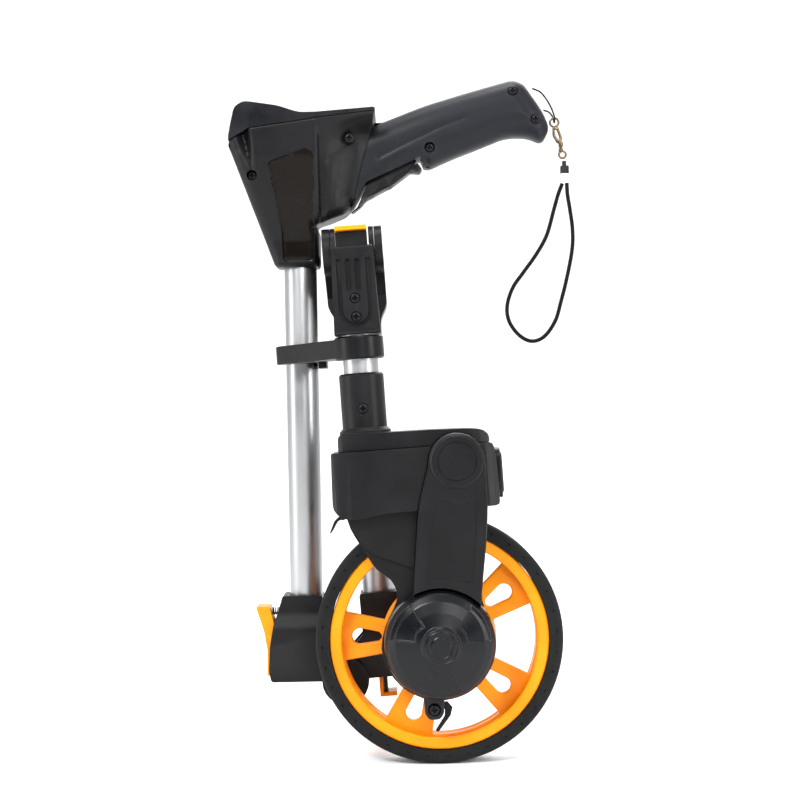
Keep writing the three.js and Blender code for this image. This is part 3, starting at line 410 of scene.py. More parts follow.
def rounded(points, radius, steps=6):
    """A closed outline with its corners rounded. A point may carry its own radius."""
    corners = [Vector(p[:2]) for p in points]
    line = []
    for i, p in enumerate(corners):
        r = points[i][2] if len(points[i]) > 2 else radius
        if not r:
            line.append(p)
            continue
        before, after = corners[i - 1] - p, corners[(i + 1) % len(corners)] - p
        cut = min(r, 0.45 * before.length, 0.45 * after.length)
        start, end = p + before.normalized() * cut, p + after.normalized() * cut
        for k in range(steps + 1):
            t = k / steps
            line.append(start * (1 - t) ** 2 + p * 2 * t * (1 - t) + end * t * t)
    return [tuple(p) for p in line]


def circle(x, z, r, sides=28):
    return [(x + r * math.cos(math.tau * k / sides), z + r * math.sin(math.tau * k / sides))
            for k in range(sides)]


def resampled(line, step, closed):
    points = np.array(line, float)
    if closed:
        points = np.vstack([points, points[:1]])
    made = []
    for a, b in zip(points, points[1:]):
        count = max(1, int(round(np.linalg.norm(b - a) / step)))
        made += [a + (b - a) * k / count for k in range(count)]
    if not closed:
        made.append(points[-1])
    return np.array(made)


def distance_to(points, line, closed=False):
    """How far each point is from a line of straight stretches."""
    corners = np.array(line, float)
    if closed:
        corners = np.vstack([corners, corners[:1]])
    a, ab = corners[:-1], np.diff(corners, axis=0)
    nearest = np.full(len(points), 1e9)
    for start, step in zip(a, ab):
        t = np.clip(((points - start) @ step) / max(step @ step, 1e-12), 0, 1)
        nearest = np.minimum(nearest, np.linalg.norm(points - start - t[:, None] * step, axis=1))
    return nearest


def inside(points, outline):
    ring = np.array(outline, float)
    x, z = points[:, 0], points[:, 1]
    hit = np.zeros(len(points), bool)
    for (x0, z0), (x1, z1) in zip(ring, np.roll(ring, -1, axis=0)):
        if z0 == z1:
            continue
        crosses = (z0 > z) != (z1 > z)
        hit ^= crosses & (x < (x1 - x0) * (z - z0) / (z1 - z0) + x0)
    return hit


def smooth(t):
    t = np.clip(t, 0, 1)
    return t * t * (3 - 2 * t)


def ramp(t):
    """A quarter circle: 0 at the edge, 1 one radius in."""
    t = np.clip(t, 0, 1)
    return np.sqrt(np.maximum(0, 1 - (1 - t) ** 2))


RINGS = (0.12, 0.45, 1.0, 1.9, 3.2, 5.0)
FEATURE_CLEARANCE = 0.35


def relief(outline, height, base, sign, spacing, features, step):
    """A closed form on the plane Y = base. height(points) says how far its face stands from it.

    Its mesh follows rings inside the outline, the features' lines and a grid of the given spacing.
    """
    border = resampled(outline, step, True)
    ahead, behind = np.roll(border, -1, axis=0), np.roll(border, 1, axis=0)
    along = ahead - behind
    normal = np.stack([-along[:, 1], along[:, 0]], axis=1)
    normal /= np.linalg.norm(normal, axis=1)[:, None]
    if not inside(border[:1] + normal[:1] * 0.05, border)[0]:
        normal = -normal
    lines = [(resampled(f, step, closed), closed) for f, closed in features]
    extra = []
    for depth in RINGS:
        ring = border + normal * depth
        extra.append(ring[(distance_to(ring, border, True) > depth * 0.94) & inside(ring, border)])
    low, high = border.min(0), border.max(0)
    rows = np.arange(low[1], high[1], spacing * 0.87)
    grid = np.array([(x + (i % 2) * spacing / 2, z) for i, z in enumerate(rows)
                     for x in np.arange(low[0], high[0], spacing)])
    extra.append(grid[inside(grid, border) & (distance_to(grid, border, True) > RINGS[-1] * 1.1)])
    extra = np.vstack(extra)
    for line, closed in lines:
        extra = extra[distance_to(extra, line, closed) > FEATURE_CLEARANCE]
    points, edges = [border], [(i, (i + 1) % len(border)) for i in range(len(border))]
    count = len(border)
    for line, closed in lines:
        points.append(line)
        last = len(line) if closed else len(line) - 1
        edges += [(count + i, count + (i + 1) % len(line)) for i in range(last)]
        count += len(line)
    points = np.vstack([*points, extra])
    flat, _, faces, origin, _, _ = delaunay_2d_cdt(
        [Vector(p) for p in points], edges, [], 1, 1e-5)
    flat = np.array([tuple(p) for p in flat])
    bm = bmesh.new()
    heights = height(flat)
    top = [bm.verts.new((x, base + sign * h, z)) for (x, z), h in zip(flat, heights)]
    for face in faces:
        bm.faces.new([top[i] for i in face])
    number = {o: i for i, found in enumerate(origin) for o in found}
    rim = [number[i] for i in range(len(border))]
    foot = {i: bm.verts.new((flat[i][0], base, flat[i][1])) for i in rim}
    for i, j in zip(rim, rim[1:] + rim[:1]):
        if i != j:
            bm.faces.new([top[i], top[j], foot[j], foot[i]])
    bm.faces.new([foot[i] for i in dict.fromkeys(rim)])
    return bm


def revolve(bm, profile, centre=(0, 0, 0), axis="Y", sides=64, radius=None):
    """Turns a closed profile of (radius, height) points about Y or Z. radius may vary it by angle."""
    rings = []
    for k in range(sides):
        a = math.tau * k / sides
        ring = []
        for index, (r, h) in enumerate(profile):
            r = radius(index, r, a) if radius else r
            u, v = r * math.cos(a), r * math.sin(a)
            local = (u, h, v) if axis == "Y" else (u, v, h)
            ring.append(bm.verts.new(Vector(local) + Vector(centre)))
        rings.append(ring)
    count = len(profile)
    for a, b in zip(rings, rings[1:] + rings[:1]):
        for i in range(count):
            j = (i + 1) % count
            bm.faces.new([a[i], b[i], b[j], a[j]])
    bmesh.ops.remove_doubles(bm, verts=bm.verts, dist=0.0005)
    bmesh.ops.dissolve_degenerate(bm, dist=0.0002, edges=bm.edges)


def smooth_profile(points, radius, steps=4):
    return rounded(points, radius, steps)


def block_frame(origin, outward, along, parent):
    """The frame that a hinge block is drawn in: x to the fold's axis and z up the tube."""
    x, z = Vector(outward), Vector(along)
    axes = Matrix((x, z.cross(x), z)).transposed().to_4x4()
    return parent @ Matrix.Translation(origin) @ axes


FOLDS = {
    "upper": {
        "catch": block_frame((STEM_X, 0, UPPER_FOLD_Z), (0, 1, 0), (0, 0, -1), LEANING),
        "latch": block_frame((STEM_X, FOLDED_Y, UPPER_FOLD_Z), (0, -1, 0), (0, 0, -1), LEANING),
    },
    "lower": {
        "catch": block_frame((STEM_X, FOLDED_Y, LOWER_FOLD_Z), (-1, 0, 0), (0, 0, 1), LEANING),
        "latch": block_frame((HANDLE_X, FOLDED_Y, HANDLE_FOLD_Z), (1, 0, 0), (0, 0, 1), UPRIGHT),
    },
}


# ---- Free cords: the wrist strap's loop and the thread that ties its clasp to the grip ----
STRAP_R = 1.3
STRAP_CORE = 0.985
STRAP_SPREAD = 1.6
THREAD_R = 0.56
STRAND_RISE = 0.05
STRAP_ROUTE = [
    (90.6, 299.2), (87.4, 291), (84.4, 281), (79.2, 264), (71.7, 251), (63, 239.3), (55.5, 228.8),
    (51.5, 216.7), (52.7, 206), (59.5, 196.4), (67.9, 192.4), (76.4, 195.6), (83.9, 206), (88, 219),
    (92.3, 235), (96.2, 254), (96.7, 268), (95.1, 282), (93.8, 291), (93.4, 299.2),
]
THREAD_ROUTE = [
    (71.2, -1.6, 363.8), (76.6, -1.8, 361.2), (80.8, -2, 356), (84, -2, 350), (85.8, -2.1, 344.5),
    (86, -1.6, 341.3), (85.9, 0, 340.6), (85.8, 1.6, 341.3), (85.2, 2.1, 344.5), (82.6, 2, 348),
    (78.8, 1.6, 349.4),
]


def spline(points, per_stretch):
    """A smooth curve through points, which leaves its first and last ones along their stretches."""
    p = np.array(points, float)
    p = np.vstack([2 * p[0] - p[1], p, 2 * p[-1] - p[-2]])
    made = []
    for i in range(1, len(p) - 2):
        for k in range(per_stretch):
            t = k / per_stretch
            a, b, c, d = p[i - 1], p[i], p[i + 1], p[i + 2]
            made.append(0.5 * (2 * b + (c - a) * t + (2 * a - 5 * b + 4 * c - d) * t * t
                               + (3 * b - a - 3 * c + d) * t ** 3))
    made.append(p[-2])
    return np.array(made)


def swept(bm, path, radius, sides=12, swell=None):
    """A round tube along a path. swell(k, j) scales its radius, for strands or wear."""
    path = np.array(path, float)
    tangents = np.gradient(path, axis=0)
    tangents /= np.linalg.norm(tangents, axis=1)[:, None]
    side = Vector(tangents[0]).orthogonal().normalized()
    rings = []
    for k, (point, tangent) in enumerate(zip(path, tangents)):
        t = Vector(tangent)
        side = (side - t * side.dot(t)).normalized()
        other = t.cross(side)
        ring = []
        for j in range(sides):
            a = math.tau * j / sides
            r = radius * (swell(k, j) if swell else 1)
            ring.append(bm.verts.new(Vector(point) + (side * math.cos(a) + other * math.sin(a)) * r))
        rings.append(ring)
    for a, b in zip(rings, rings[1:]):
        for j in range(sides):
            n = (j + 1) % sides
            bm.faces.new([a[j], a[n], b[n], b[j]])
    bm.faces.new(rings[0][::-1])
    bm.faces.new(rings[-1])


def strap_strands(k, j):
    """Two sets of crossing strands around the strap."""
    return 1 + STRAND_RISE * math.cos(math.tau * (j / 4 + k / 6)) * math.cos(math.tau * (j / 4 - k / 6))


def thread_strands(k, j):
    """One set of strands that winds around the thread."""
    return 1 + STRAND_RISE * math.cos(math.tau * (j / 3 + k / 7))


def make_cords():
    last = len(STRAP_ROUTE) - 1
    route = [(x, FOLDED_Y + STRAP_SPREAD * (1 - 2 * i / last), z) for i, (x, z) in enumerate(STRAP_ROUTE)]
    path = spline(route, 14)
    bm = bmesh.new()
    swept(bm, path, STRAP_R * STRAP_CORE, 16, strap_strands)
    strap = place("strap_cord", to_mesh(bm, "strap_cord", UPRIGHT, 70), "strap", "webbing", ("strap_loop",))
    thread = spline([(x, FOLDED_Y + y, z) for x, y, z in THREAD_ROUTE], 10)
    bm = bmesh.new()
    swept(bm, thread, THREAD_R, 12, thread_strands)
    tie = place("thread_tie", to_mesh(bm, "thread_tie", UPRIGHT, 70), "handle", "webbing", ("thread_loop",))


make_cords()


# ---- Tubes ----
SOCKET_TOP_Z = 140.3
HEAD_SEAT_Z = 263.7


def pipe(node, x, y, z0, z1, placing):
    bore = TUBE_R - TUBE_WALL
    profile = smooth_profile([(bore, z0), (TUBE_R, z0), (TUBE_R, z1), (bore, z1)], 0.35, 3)
    bm = bmesh.new()
    revolve(bm, profile, (x, y, 0), "Z", 96)
    place(f"{node}_drawn", to_mesh(bm, node, placing), BODY_OF[node], "tube_aluminium", (node,))


FOLD_TUBE_Z = UPPER_FOLD_Z - TUBE_DEPTH - GAP
pipe("lower_tube", STEM_X, 0, SOCKET_TOP_Z, FOLD_TUBE_Z, LEANING)
pipe("middle_tube", STEM_X, FOLDED_Y, LOWER_FOLD_Z + TUBE_DEPTH + GAP, FOLD_TUBE_Z, LEANING)
pipe("upper_tube", HANDLE_X, FOLDED_Y, HANDLE_FOLD_Z + TUBE_DEPTH + GAP, HEAD_SEAT_Z, UPRIGHT)


# ---- Wheel ----
TREAD_GROOVES = (-6.5, 0, 6.5)
GROOVE_DEPTH = 0.9
DOT_R = 75
DOT_DEPTH = 1.1
DOT_EVERY = 10


def tyre():
    w, inner = TYRE_HALF_WIDTH, RIM_R + GAP
    shoulder = [(inner, -w), (72.2, -w + 0.25), (73.4, -w), (74.2, -w), (DOT_R, -w), (75.8, -w),
                (76.6, -w), (77.6, -w + 0.35), (78.6, -w + 1.5), (79.2, -w + 2.8)]
    tread = [(TYRE_R, -10.2)]
    floor = TYRE_R - GROOVE_DEPTH
    for groove in TREAD_GROOVES:
        tread += [(TYRE_R, groove - 0.9), (floor, groove - 0.55), (floor, groove + 0.55),
                  (TYRE_R, groove + 0.9)]
    tread.append((TYRE_R, 10.2))
    profile = shoulder + tread + [(r, -h) for r, h in reversed(shoulder)]
    dots = {i for i, (r, _) in enumerate(profile) if r == DOT_R}
    sides = 360
    bm = bmesh.new()
    rings = []
    for k in range(sides):
        a = math.tau * k / sides
        ring = []
        for i, (r, h) in enumerate(profile):
            if i in dots and k % DOT_EVERY == 0:
                h -= math.copysign(DOT_DEPTH, h)
            ring.append(bm.verts.new((r * math.cos(a), h, r * math.sin(a))))
        rings.append(ring)
    for a, b in zip(rings, rings[1:] + rings[:1]):
        for i in range(len(profile)):
            j = (i + 1) % len(profile)
            bm.faces.new([a[i], b[i], b[j], a[j]])
    place("tyre_tread", to_mesh(bm, "tyre_tread", LEANING, 32), "wheel", "tyre_rubber", ("tyre",))


def plate(outlines, y0, y1, bevel):
    """A flat plate with holes and rounded rims: the first outline is its edge, the rest are holes."""
    curve = bpy.data.curves.new("outline", "CURVE")
    curve.dimensions = "2D"
    curve.fill_mode = "BOTH"
    curve.extrude = (y1 - y0) / 2 - bevel
    curve.bevel_depth = bevel
    curve.bevel_resolution = 3
    curve.offset = -bevel
    for outline in outlines:
        stretch = curve.splines.new("POLY")
        stretch.points.add(len(outline) - 1)
        for point, (x, z) in zip(stretch.points, outline):
            point.co = (x, z, 0, 1)
        stretch.use_cyclic_u = True
    holder = bpy.data.objects.new("outline", curve)
    bpy.context.scene.collection.objects.link(holder)
    mesh = bpy.data.meshes.new_from_object(holder.evaluated_get(bpy.context.evaluated_depsgraph_get()))
    bpy.data.objects.remove(holder)
    bpy.data.curves.remove(curve)
    bm = bmesh.new()
    bm.from_mesh(mesh)
    bpy.data.meshes.remove(mesh)
    bmesh.ops.transform(bm, matrix=Matrix.Translation((0, (y0 + y1) / 2, 0))
                        @ Matrix.Rotation(math.pi / 2, 4, "X"), verts=bm.verts)
    bmesh.ops.remove_doubles(bm, verts=bm.verts, dist=0.01)
    return bm


def merged(parts):
    """Several bmeshes in one."""
    whole = bmesh.new()
    for part in parts:
        mesh = bpy.data.meshes.new("part")
        part.to_mesh(mesh)
        part.free()
        whole.from_mesh(mesh)
        bpy.data.meshes.remove(mesh)
    return whole


def wheel_rim():
    def arc(radius, start, end, count):
        return [(radius * math.cos(start + (end - start) * k / (count - 1)),
                 radius * math.sin(start + (end - start) * k / (count - 1)),
                 6 if k in (0, count - 1) else 0) for k in range(count)]

    half, at_rim, at_hub = math.pi / SPOKES, 16 / RIM_INNER_R, 11 / HUB_DISC_R
    outlines = [circle(0, 0, RIM_INNER_R + 3, 180)]
    for k in range(SPOKES):
        spoke = FIRST_SPOKE + math.tau * k / SPOKES
        gap = spoke + half
        window = arc(RIM_INNER_R - 0.2, gap + at_rim - half, gap + half - at_rim, 30)
        window += arc(HUB_DISC_R, gap + half - at_hub, gap + at_hub - half, 14)
        outlines.append(rounded(window, 0, 8))
        drop = [(51 + 5.2 * math.cos(a), 5.2 * math.sin(a))
                for a in (-math.pi / 2 + math.pi * i / 16 for i in range(17))]
        drop += [(38.8, 3), (37.4, 1.4), (36.9, 0), (37.4, -1.4), (38.8, -3)]
        turn = Matrix.Rotation(spoke, 2)
        outlines.append([tuple(turn @ Vector(p)) for p in drop])
    web = plate(outlines, -3.5, 3.5, 1.3)
    band, sleeve = bmesh.new(), bmesh.new()
    lip = [(64.6, -3), (63.6, -9), (62.7, -11.6), (62.9, -12.7), (64, -13), (69.2, -13), (RIM_R, -12.2)]
    band_profile = lip + [(r, -h) for r, h in reversed(lip)]
    revolve(band, smooth_profile(band_profile, 0.7, 3), sides=200)
    revolve(sleeve, smooth_profile([(11.3, -15.4), (16, -15.4, 1), (16.6, -5, 2), (24, -3.2, 3), (24, 3.2, 3),
                                    (16.6, 5, 2), (16, 15.4, 1), (11.3, 15.4)], 0.5, 4), sides=72)
    bm = merged([web, band, sleeve])
    place("spoked_rim", to_mesh(bm, "spoked_rim", LEANING, 40), "wheel", "orange_plastic", ("wheel_rim",))


tyre()
wheel_rim()
for shown in ("hub_pulley", "counter_pulley"):
    refined(shown, "black_plastic", 0.3, 2)
for shown in ("front_bearing", "rear_bearing"):
    refined(shown, "steel", 0.4, 2)
refined("axle", "steel", 0.8, 3)
refined("drive_belt", "belt_rubber", 0.2, 2)
refined("sensor_board", "board_green", 0.1, 1)


# ---- Hub cover: a dome with a raised boss, two ring grooves and three sunk sectors ----
DOME_GROOVES = ((6.6, 0.45, 0.42), (9.9, 0.4, 0.35))
SECTOR_MIDDLES = (25, 146, 268)
SECTOR_HALF = 20
SECTOR_DEPTH = 0.62
SECTOR_LIP = 0.22


def dome_sinking(r, a):
    """How far the dome's face is sunk at radius r and angle a, by its grooves and its sectors."""
    sunk = sum(depth * math.exp(-((r - groove) / width) ** 2) for groove, depth, width in DOME_GROOVES)
    within = 1 - smooth((r - 29.4) / 3)
    for middle in SECTOR_MIDDLES:
        off = abs((math.degrees(a) - middle + 180) % 360 - 180)
        side = (SECTOR_HALF + (r - 16.5) * 0.28 - off) * r * math.pi / 180
        inner = r - 17.3 + 1.4 * off / SECTOR_HALF
        from_edge = min(side, inner)
        depth = float(smooth(from_edge / 0.7) * within)
        lip = math.exp(-(from_edge / 0.5) ** 2) * float(within)
        sunk += SECTOR_DEPTH * depth - SECTOR_LIP * lip
    return sunk


def hub_cover():
    knots = np.array([(0, -51.5), (11.2, -51.5), (12.6, -49.5), (16, -48.8), (21, -47.8), (28, -45.6),
                      (32.4, -42.6), (34.6, -38.5), (35.3, -34), (HUB_COVER_R, -29),
                      (HUB_COVER_R, HUB_COVER_BACK)])
    inner_rings = 110
    radii = np.concatenate([np.linspace(0, 33, inner_rings), np.linspace(33.2, 35.3, 16), knots[-2:, 0]])
    face = np.interp(radii, knots[:, 0], knots[:, 1])
    face[-2:] = knots[-2:, 1]
    kernel = np.hanning(7) / np.hanning(7).sum()
    eased = np.convolve(np.pad(face, 3, mode="edge"), kernel, mode="valid")
    face[2:inner_rings] = eased[2:inner_rings]
    sides = 360
    bm = bmesh.new()
    rings = []
    for r, y in zip(radii, face):
        ring = []
        for k in range(sides):
            a = math.tau * k / sides
            ring.append(bm.verts.new((r * math.cos(a), y + dome_sinking(r, a), r * math.sin(a))))
        rings.append(ring)
    back, deep = ([bm.verts.new((v.co.x * scale, y, v.co.z * scale)) for v in rings[-1]]
                  for scale, y in ((0.93, HUB_COVER_BACK), (0.9, -38)))
    rings += [back, deep]
    for a, b in zip(rings, rings[1:]):
        for k in range(sides):
            n = (k + 1) % sides
            bm.faces.new([a[k], a[n], b[n], b[k]])
    bm.faces.new(deep)
    bmesh.ops.remove_doubles(bm, verts=bm.verts, dist=0.001)
    lug = rounded([(LUG_X - 6.5, -27), (LUG_X + 7, -27), (LUG_X + 6, LUG_Z - 3), (LUG_X + 3, LUG_Z - 6.5),
                   (LUG_X - 3, LUG_Z - 6.5), (LUG_X - 6, LUG_Z - 3)], 3)
    tab = plate([lug, circle(LUG_X, LUG_Z, 3.5)], -32, HUB_COVER_BACK, 0.9)
    whole = merged([bm, tab])
    place("hub_dome", to_mesh(whole, "hub_dome", LEANING, 50), "fork", "gloss_black", ("hub_cover",))


hub_cover()


# ---- Fasteners with a cross recess ----
SCREW_HEAD_R = 3.2
SCREW_HEAD_H = 2.2
SCREW_SHANK_R = 1.5


def screw(name, node, length, placing):
    def cross(index, r, angle):
        return r * (0.55 + 0.45 * abs(math.cos(2 * angle)) ** 5) if index in (1, 2) else r

    profile = [(0, 1.3), (1.3, 1.3), (2.0, 0.12), (2.5, 0.05), (3.0, 0.35), (SCREW_HEAD_R, 0.9),
               (SCREW_HEAD_R, SCREW_HEAD_H), (SCREW_SHANK_R, SCREW_HEAD_H), (SCREW_SHANK_R, length),
               (0, length)]
    bm = bmesh.new()
    revolve(bm, profile, axis="Y", sides=48, radius=cross)
    place(name, to_mesh(bm, name, placing, 45), BODY_OF[node], "dark_steel", (node,))


HEAD_SCREWS = [(-118, 305.2), (-52.7, 329.1)]
GRIP_SCREWS = [(57.2, 360.2), (72.2, 341), (0.7, 323.2)]
TO_X = Matrix.Rotation(-math.pi / 2, 4, "Z")
for part, screws, length, face in (("head", HEAD_SCREWS, 20, HEAD_SCREW_FACE),
                                   ("grip", GRIP_SCREWS, 18, GRIP_SCREW_FACE)):
    for i, (x, z) in enumerate(screws, 1):
        screw(f"{part}_bolt_{i}", f"{part}_screw_{i}", length,
              UPRIGHT @ Matrix.Translation((x, FOLDED_Y - face, z)))
screw("socket_bolt", "socket_screw", 3, LEANING @ Matrix.Translation((STEM_X, -14.8, 151)))
screw("hub_bolt", "hub_screw", 14, LEANING @ Matrix.Translation((LUG_X, -34, LUG_Z)))
for fold in FOLDS:
    for i, z in enumerate((34, 46), 1):
        screw(f"{fold}_hinge_bolt_{i}", f"{fold}_hinge_screw_{i}", 3.1,
              FOLDS[fold]["catch"] @ Matrix.Translation((-14.7, 0, z)) @ TO_X)


# ---- Hinge blocks, latches and springs ----
def latch_spring(fold):
    turns, per_turn, coil_r = 5, 20, 2.35
    x0, x1, seat = -23.0, -19.2, 45.6
    total = turns * per_turn
    path = []
    for k in range(total + 1):
        a = math.tau * k / per_turn
        flat = min(1, max(0, (k - per_turn * 0.8) / (total - 1.6 * per_turn)))
        path.append((x0 + (x1 - x0) * (0.06 * k / total + 0.94 * flat), coil_r * math.cos(a),
                     seat + coil_r * math.sin(a)))
    bm = bmesh.new()
    swept(bm, path, 0.32, 10)
    node = f"{fold}_latch_spring"
    place(f"{fold}_coil", to_mesh(bm, node, FOLDS[fold]["latch"], 60), BODY_OF[node], "dark_steel", (node,))


for fold in FOLDS:
    refined(f"{fold}_hinge_block", "black_plastic", 0.55)
    refined(f"{fold}_latch_block", "black_plastic", 0.7)
    refined(f"{fold}_catch", "orange_plastic", 0.5)
    refined(f"{fold}_latch_lever", "orange_plastic", 0.7)
    refined(f"{fold}_hinge_pin", "steel", 0.5)
    refined(f"{fold}_lever_pin", "steel", 0.3)
    latch_spring(fold)

# ---- Fork ----
for shown in ("fork_front_shell", "fork_rear_shell", "stem_socket"):
    refined(shown, "black_plastic", 0.9)
refined("belt_cover", "black_plastic", 0.5)
refined("counter_cover", "gloss_black", 0.7)
refined("parking_bracket", "black_plastic", 1.8, 4)
refined("reset_lever", "black_plastic", 0.4)
refined("pointer", "dark_steel", 0.3)


# ---- Head and grip ----
# The bezel's seam is a height over x, and the grip's is an x over the height.
BEZEL_SEAM = [(-160, 316.5), (-133.9, 327.4), (-119, 336), (-73, 342), (-20, 347.8)]
GRIP_SEAM = [(284.7, -51.8), (312, -45.2), (337.7, -37.7), (351, -34)]
HEAD_LOW = [(-133.4, 325.4, 6), (-104.4, 244.6), (-75.4, 244.5), (-74.6, 247.4), (-74.4, 268),
            (-76.6, 272.4), (-56.9, 279.5), (-51.8, 284.7, 2), (-45.2, 312, 0), (-37.7, 337.7, 0)]
LABEL = [(-107.5, 313.5), (-80, 322.8), (-76, 318.8), (-78, 248.3), (-99, 248), (-99.5, 268.7)]
LABEL_DEPTH = 0.9
LABEL_FILM_SCALE = 0.975
STEP_X = -74.4
STEP_TOP_Z = 341
CREASE = ((-39.3, 337.9), (-67.6, 316.5))
GULLY = [(-123.5, 333.5), HEAD_SCREWS[0]]
GULLY_FOOT_Z = 303
RIB = [(-58.4, 314.2), (-59.6, 303), (-62.3, 296.6), (-63.4, 276)]
HEAD_EDGE_R = 7
WELL_R = 3.46
WELL_RIMS = (3.5, 3.42)
WELL_DEPTH = 2.3


def along(seam, at):
    knots = np.array(seam, float)
    return np.interp(at, knots[:, 0], knots[:, 1])


def with_wells(h, x, z, screws, floor):
    """A face's height with a flat-bottomed well at each screw."""
    for sx, sz in screws:
        h = np.where(np.hypot(x - sx, z - sz) < WELL_R, floor, h)
    return h


def well_rims(screws):
    return [(circle(x, z, r), True) for x, z in screws for r in WELL_RIMS]


def head_shell(front):
    seam = [(x, float(along(BEZEL_SEAM, x)) - SHELL_GAP, 0) for x in (-35.6, -73, -119, -132.9)]
    outline = rounded([*HEAD_LOW, *seam], 3, 6)
    outer = rounded([(HEAD_LOW[0][0], 360), *HEAD_LOW[:8]], 3, 6)[:-1]
    label = rounded(LABEL, 3, 6)
    centre = np.mean(np.array(label), axis=0)
    film = [tuple(centre + (np.array(p) - centre) * LABEL_FILM_SCALE) for p in label]
    crease_a, crease_b = (np.array(p, float) for p in CREASE)
    across = np.array([-(crease_b - crease_a)[1], (crease_b - crease_a)[0]])
    across /= np.linalg.norm(across)

    def height(points):
        x, z = points[:, 0], points[:, 1]
        full = np.interp(z, [240, 262, 290, 318, 345, 362], [16, 17, 24, 30, 32, 32])
        below_seam = along(BEZEL_SEAM, x) - z
        seam_x = along(GRIP_SEAM, z)
        t = np.clip((x - STEP_X) / (seam_x - STEP_X), 0, 1)
        past = np.clip((points - crease_a) @ across, 0, None)
        bulge = 3.6 * (1 - np.exp(-past / 7)) * smooth((x + 74) / 8)
        right = (full - 2.6) * (1 - smooth(t)) + np.minimum(full - 2.6, 13.2) * smooth(t) + bulge
        h = full + (right - full) * smooth((x - STEP_X) / 1.6) * smooth(below_seam / 16)
        h += 0.35 * np.exp(-((x - STEP_X + 0.9) / 0.6) ** 2)
        d = distance_to(points, outer)
        h -= HEAD_EDGE_R * (1 - ramp(d / HEAD_EDGE_R))
        h -= 0.5 * (1 - smooth(below_seam / 0.9))
        h -= 0.4 * (1 - smooth((seam_x - x) / 0.8))
        if front:
            h -= LABEL_DEPTH * smooth((inside(points, label) * distance_to(points, label, True)) / 0.55)
            rise = smooth((z - GULLY_FOOT_Z) / 30)
            across_gully = smooth(distance_to(points, GULLY) / (3.0 + 3.6 * rise))
            h -= (1.4 + 4.6 * rise) * (1 - across_gully) * (z > GULLY_FOOT_Z)
            h += 0.45 * np.exp(-(distance_to(points, RIB) / 0.35) ** 2)
            h = with_wells(h, x, z, HEAD_SCREWS, HEAD_SCREW_FACE - WELL_DEPTH)
        return np.maximum(h, 1.5)

    step_lines = (STEP_X - 0.9, STEP_X, STEP_X + 0.8, STEP_X + 1.6)
    features = [([(x, 274), (x, STEP_TOP_Z)], False) for x in step_lines]
    features.append((CREASE, False))
    if front:
        features += [(label, True), (film, True), *well_rims(HEAD_SCREWS)]
    sign = -1 if front else 1
    bm = relief(outline, height, FOLDED_Y + sign * SHELL_GAP, sign, 1.7, features, 1.1)
    if front:
        middles = np.array([tuple(f.calc_center_median()) for f in bm.faces])
        held = inside(middles[:, [0, 2]], film) & (middles[:, 1] < FOLDED_Y - 8)
        for face, flag in zip(bm.faces, held):
            face.material_index = int(flag)
    node = "head_front_shell" if front else "head_rear_shell"
    mesh = to_mesh(bm, node, UPRIGHT, 42)
    place(f"{node}_moulding", mesh, "handle", "black_plastic", (node,), ("label_film",) if front else ())


GRIP_TOP = [(-31.2, 342.2, 3), (-2.7, 352.9), (26, 361.2), (57.4, 369.5), (65, 367), (77.7, 348.2),
            (82.5, 335.8, 5), (77, 325.8, 4), (67.8, 329.9), (59.3, 330.6), (50.7, 329.8),
            (34.6, 323.6), (15.5, 316.5), (1, 310.2, 2)]
TRIGGER = [(-7.4, 313.2, 1), (-41.4, 299, 1), (-48.8, 285, 1), (-53.4, 281.2, 1), (-51.2, 281.7, 1),
           (-45.3, 286.2), (-43.2, 289.2), (-38, 291.6), (-32.3, 295.6), (-25.6, 297.6),
           (-20.8, 303.6), (-13, 307.8), (-6.4, 306.8), (-4.4, 309.6, 1)]
GRIP_GROOVE = [(-33.5, 316.8), (-12, 327.5), (8, 336.6), (24.6, 342.7)]


def grip_skin():
    """The line that the grip's section is rounded from: its whole silhouette but for its end at the head."""
    top = rounded([(-60, 332, 0), *GRIP_TOP], 7, 6)
    return [*top, (-4.4, 309.0), *reversed(TRIGGER[5:13]), TRIGGER[3][:2], (-70, 270)]


def grip_height(points, half, radius=15.5):
    d = distance_to(points, grip_skin())
    return 1.6 + (half - 1.6) * ramp(d / radius)


def grip_shell(front):
    outline = rounded([(-36.2, 341.5, 0), *GRIP_TOP, (-3.2, 310.6, 1), (-5.6, 317.4, 1), (-42.6, 300.8, 2),
                       (-50.9, 285.8, 1), (-51.5, 284.7, 0), (-44.9, 312, 0), (-37.4, 337.7, 0)], 7, 8)

    def height(points):
        x, z = points[:, 0], points[:, 1]
        h = grip_height(points, GRIP_HALF - 0.1)
        h -= 0.75 * np.exp(-(distance_to(points, GRIP_GROOVE) / 0.75) ** 2)
        if front:
            h = with_wells(h, x, z, GRIP_SCREWS, GRIP_SCREW_FACE - WELL_DEPTH)
        return h

    features = [(GRIP_GROOVE, False)]
    if front:
        features += well_rims(GRIP_SCREWS)
    sign = -1 if front else 1
    bm = relief(outline, height, FOLDED_Y + sign * SHELL_GAP, sign, 1.9, features, 1.1)
    node = "grip_front_shell" if front else "grip_rear_shell"
    place(f"{node}_moulding", to_mesh(bm, node, UPRIGHT, 42), "handle", "grip_plastic", (node,))


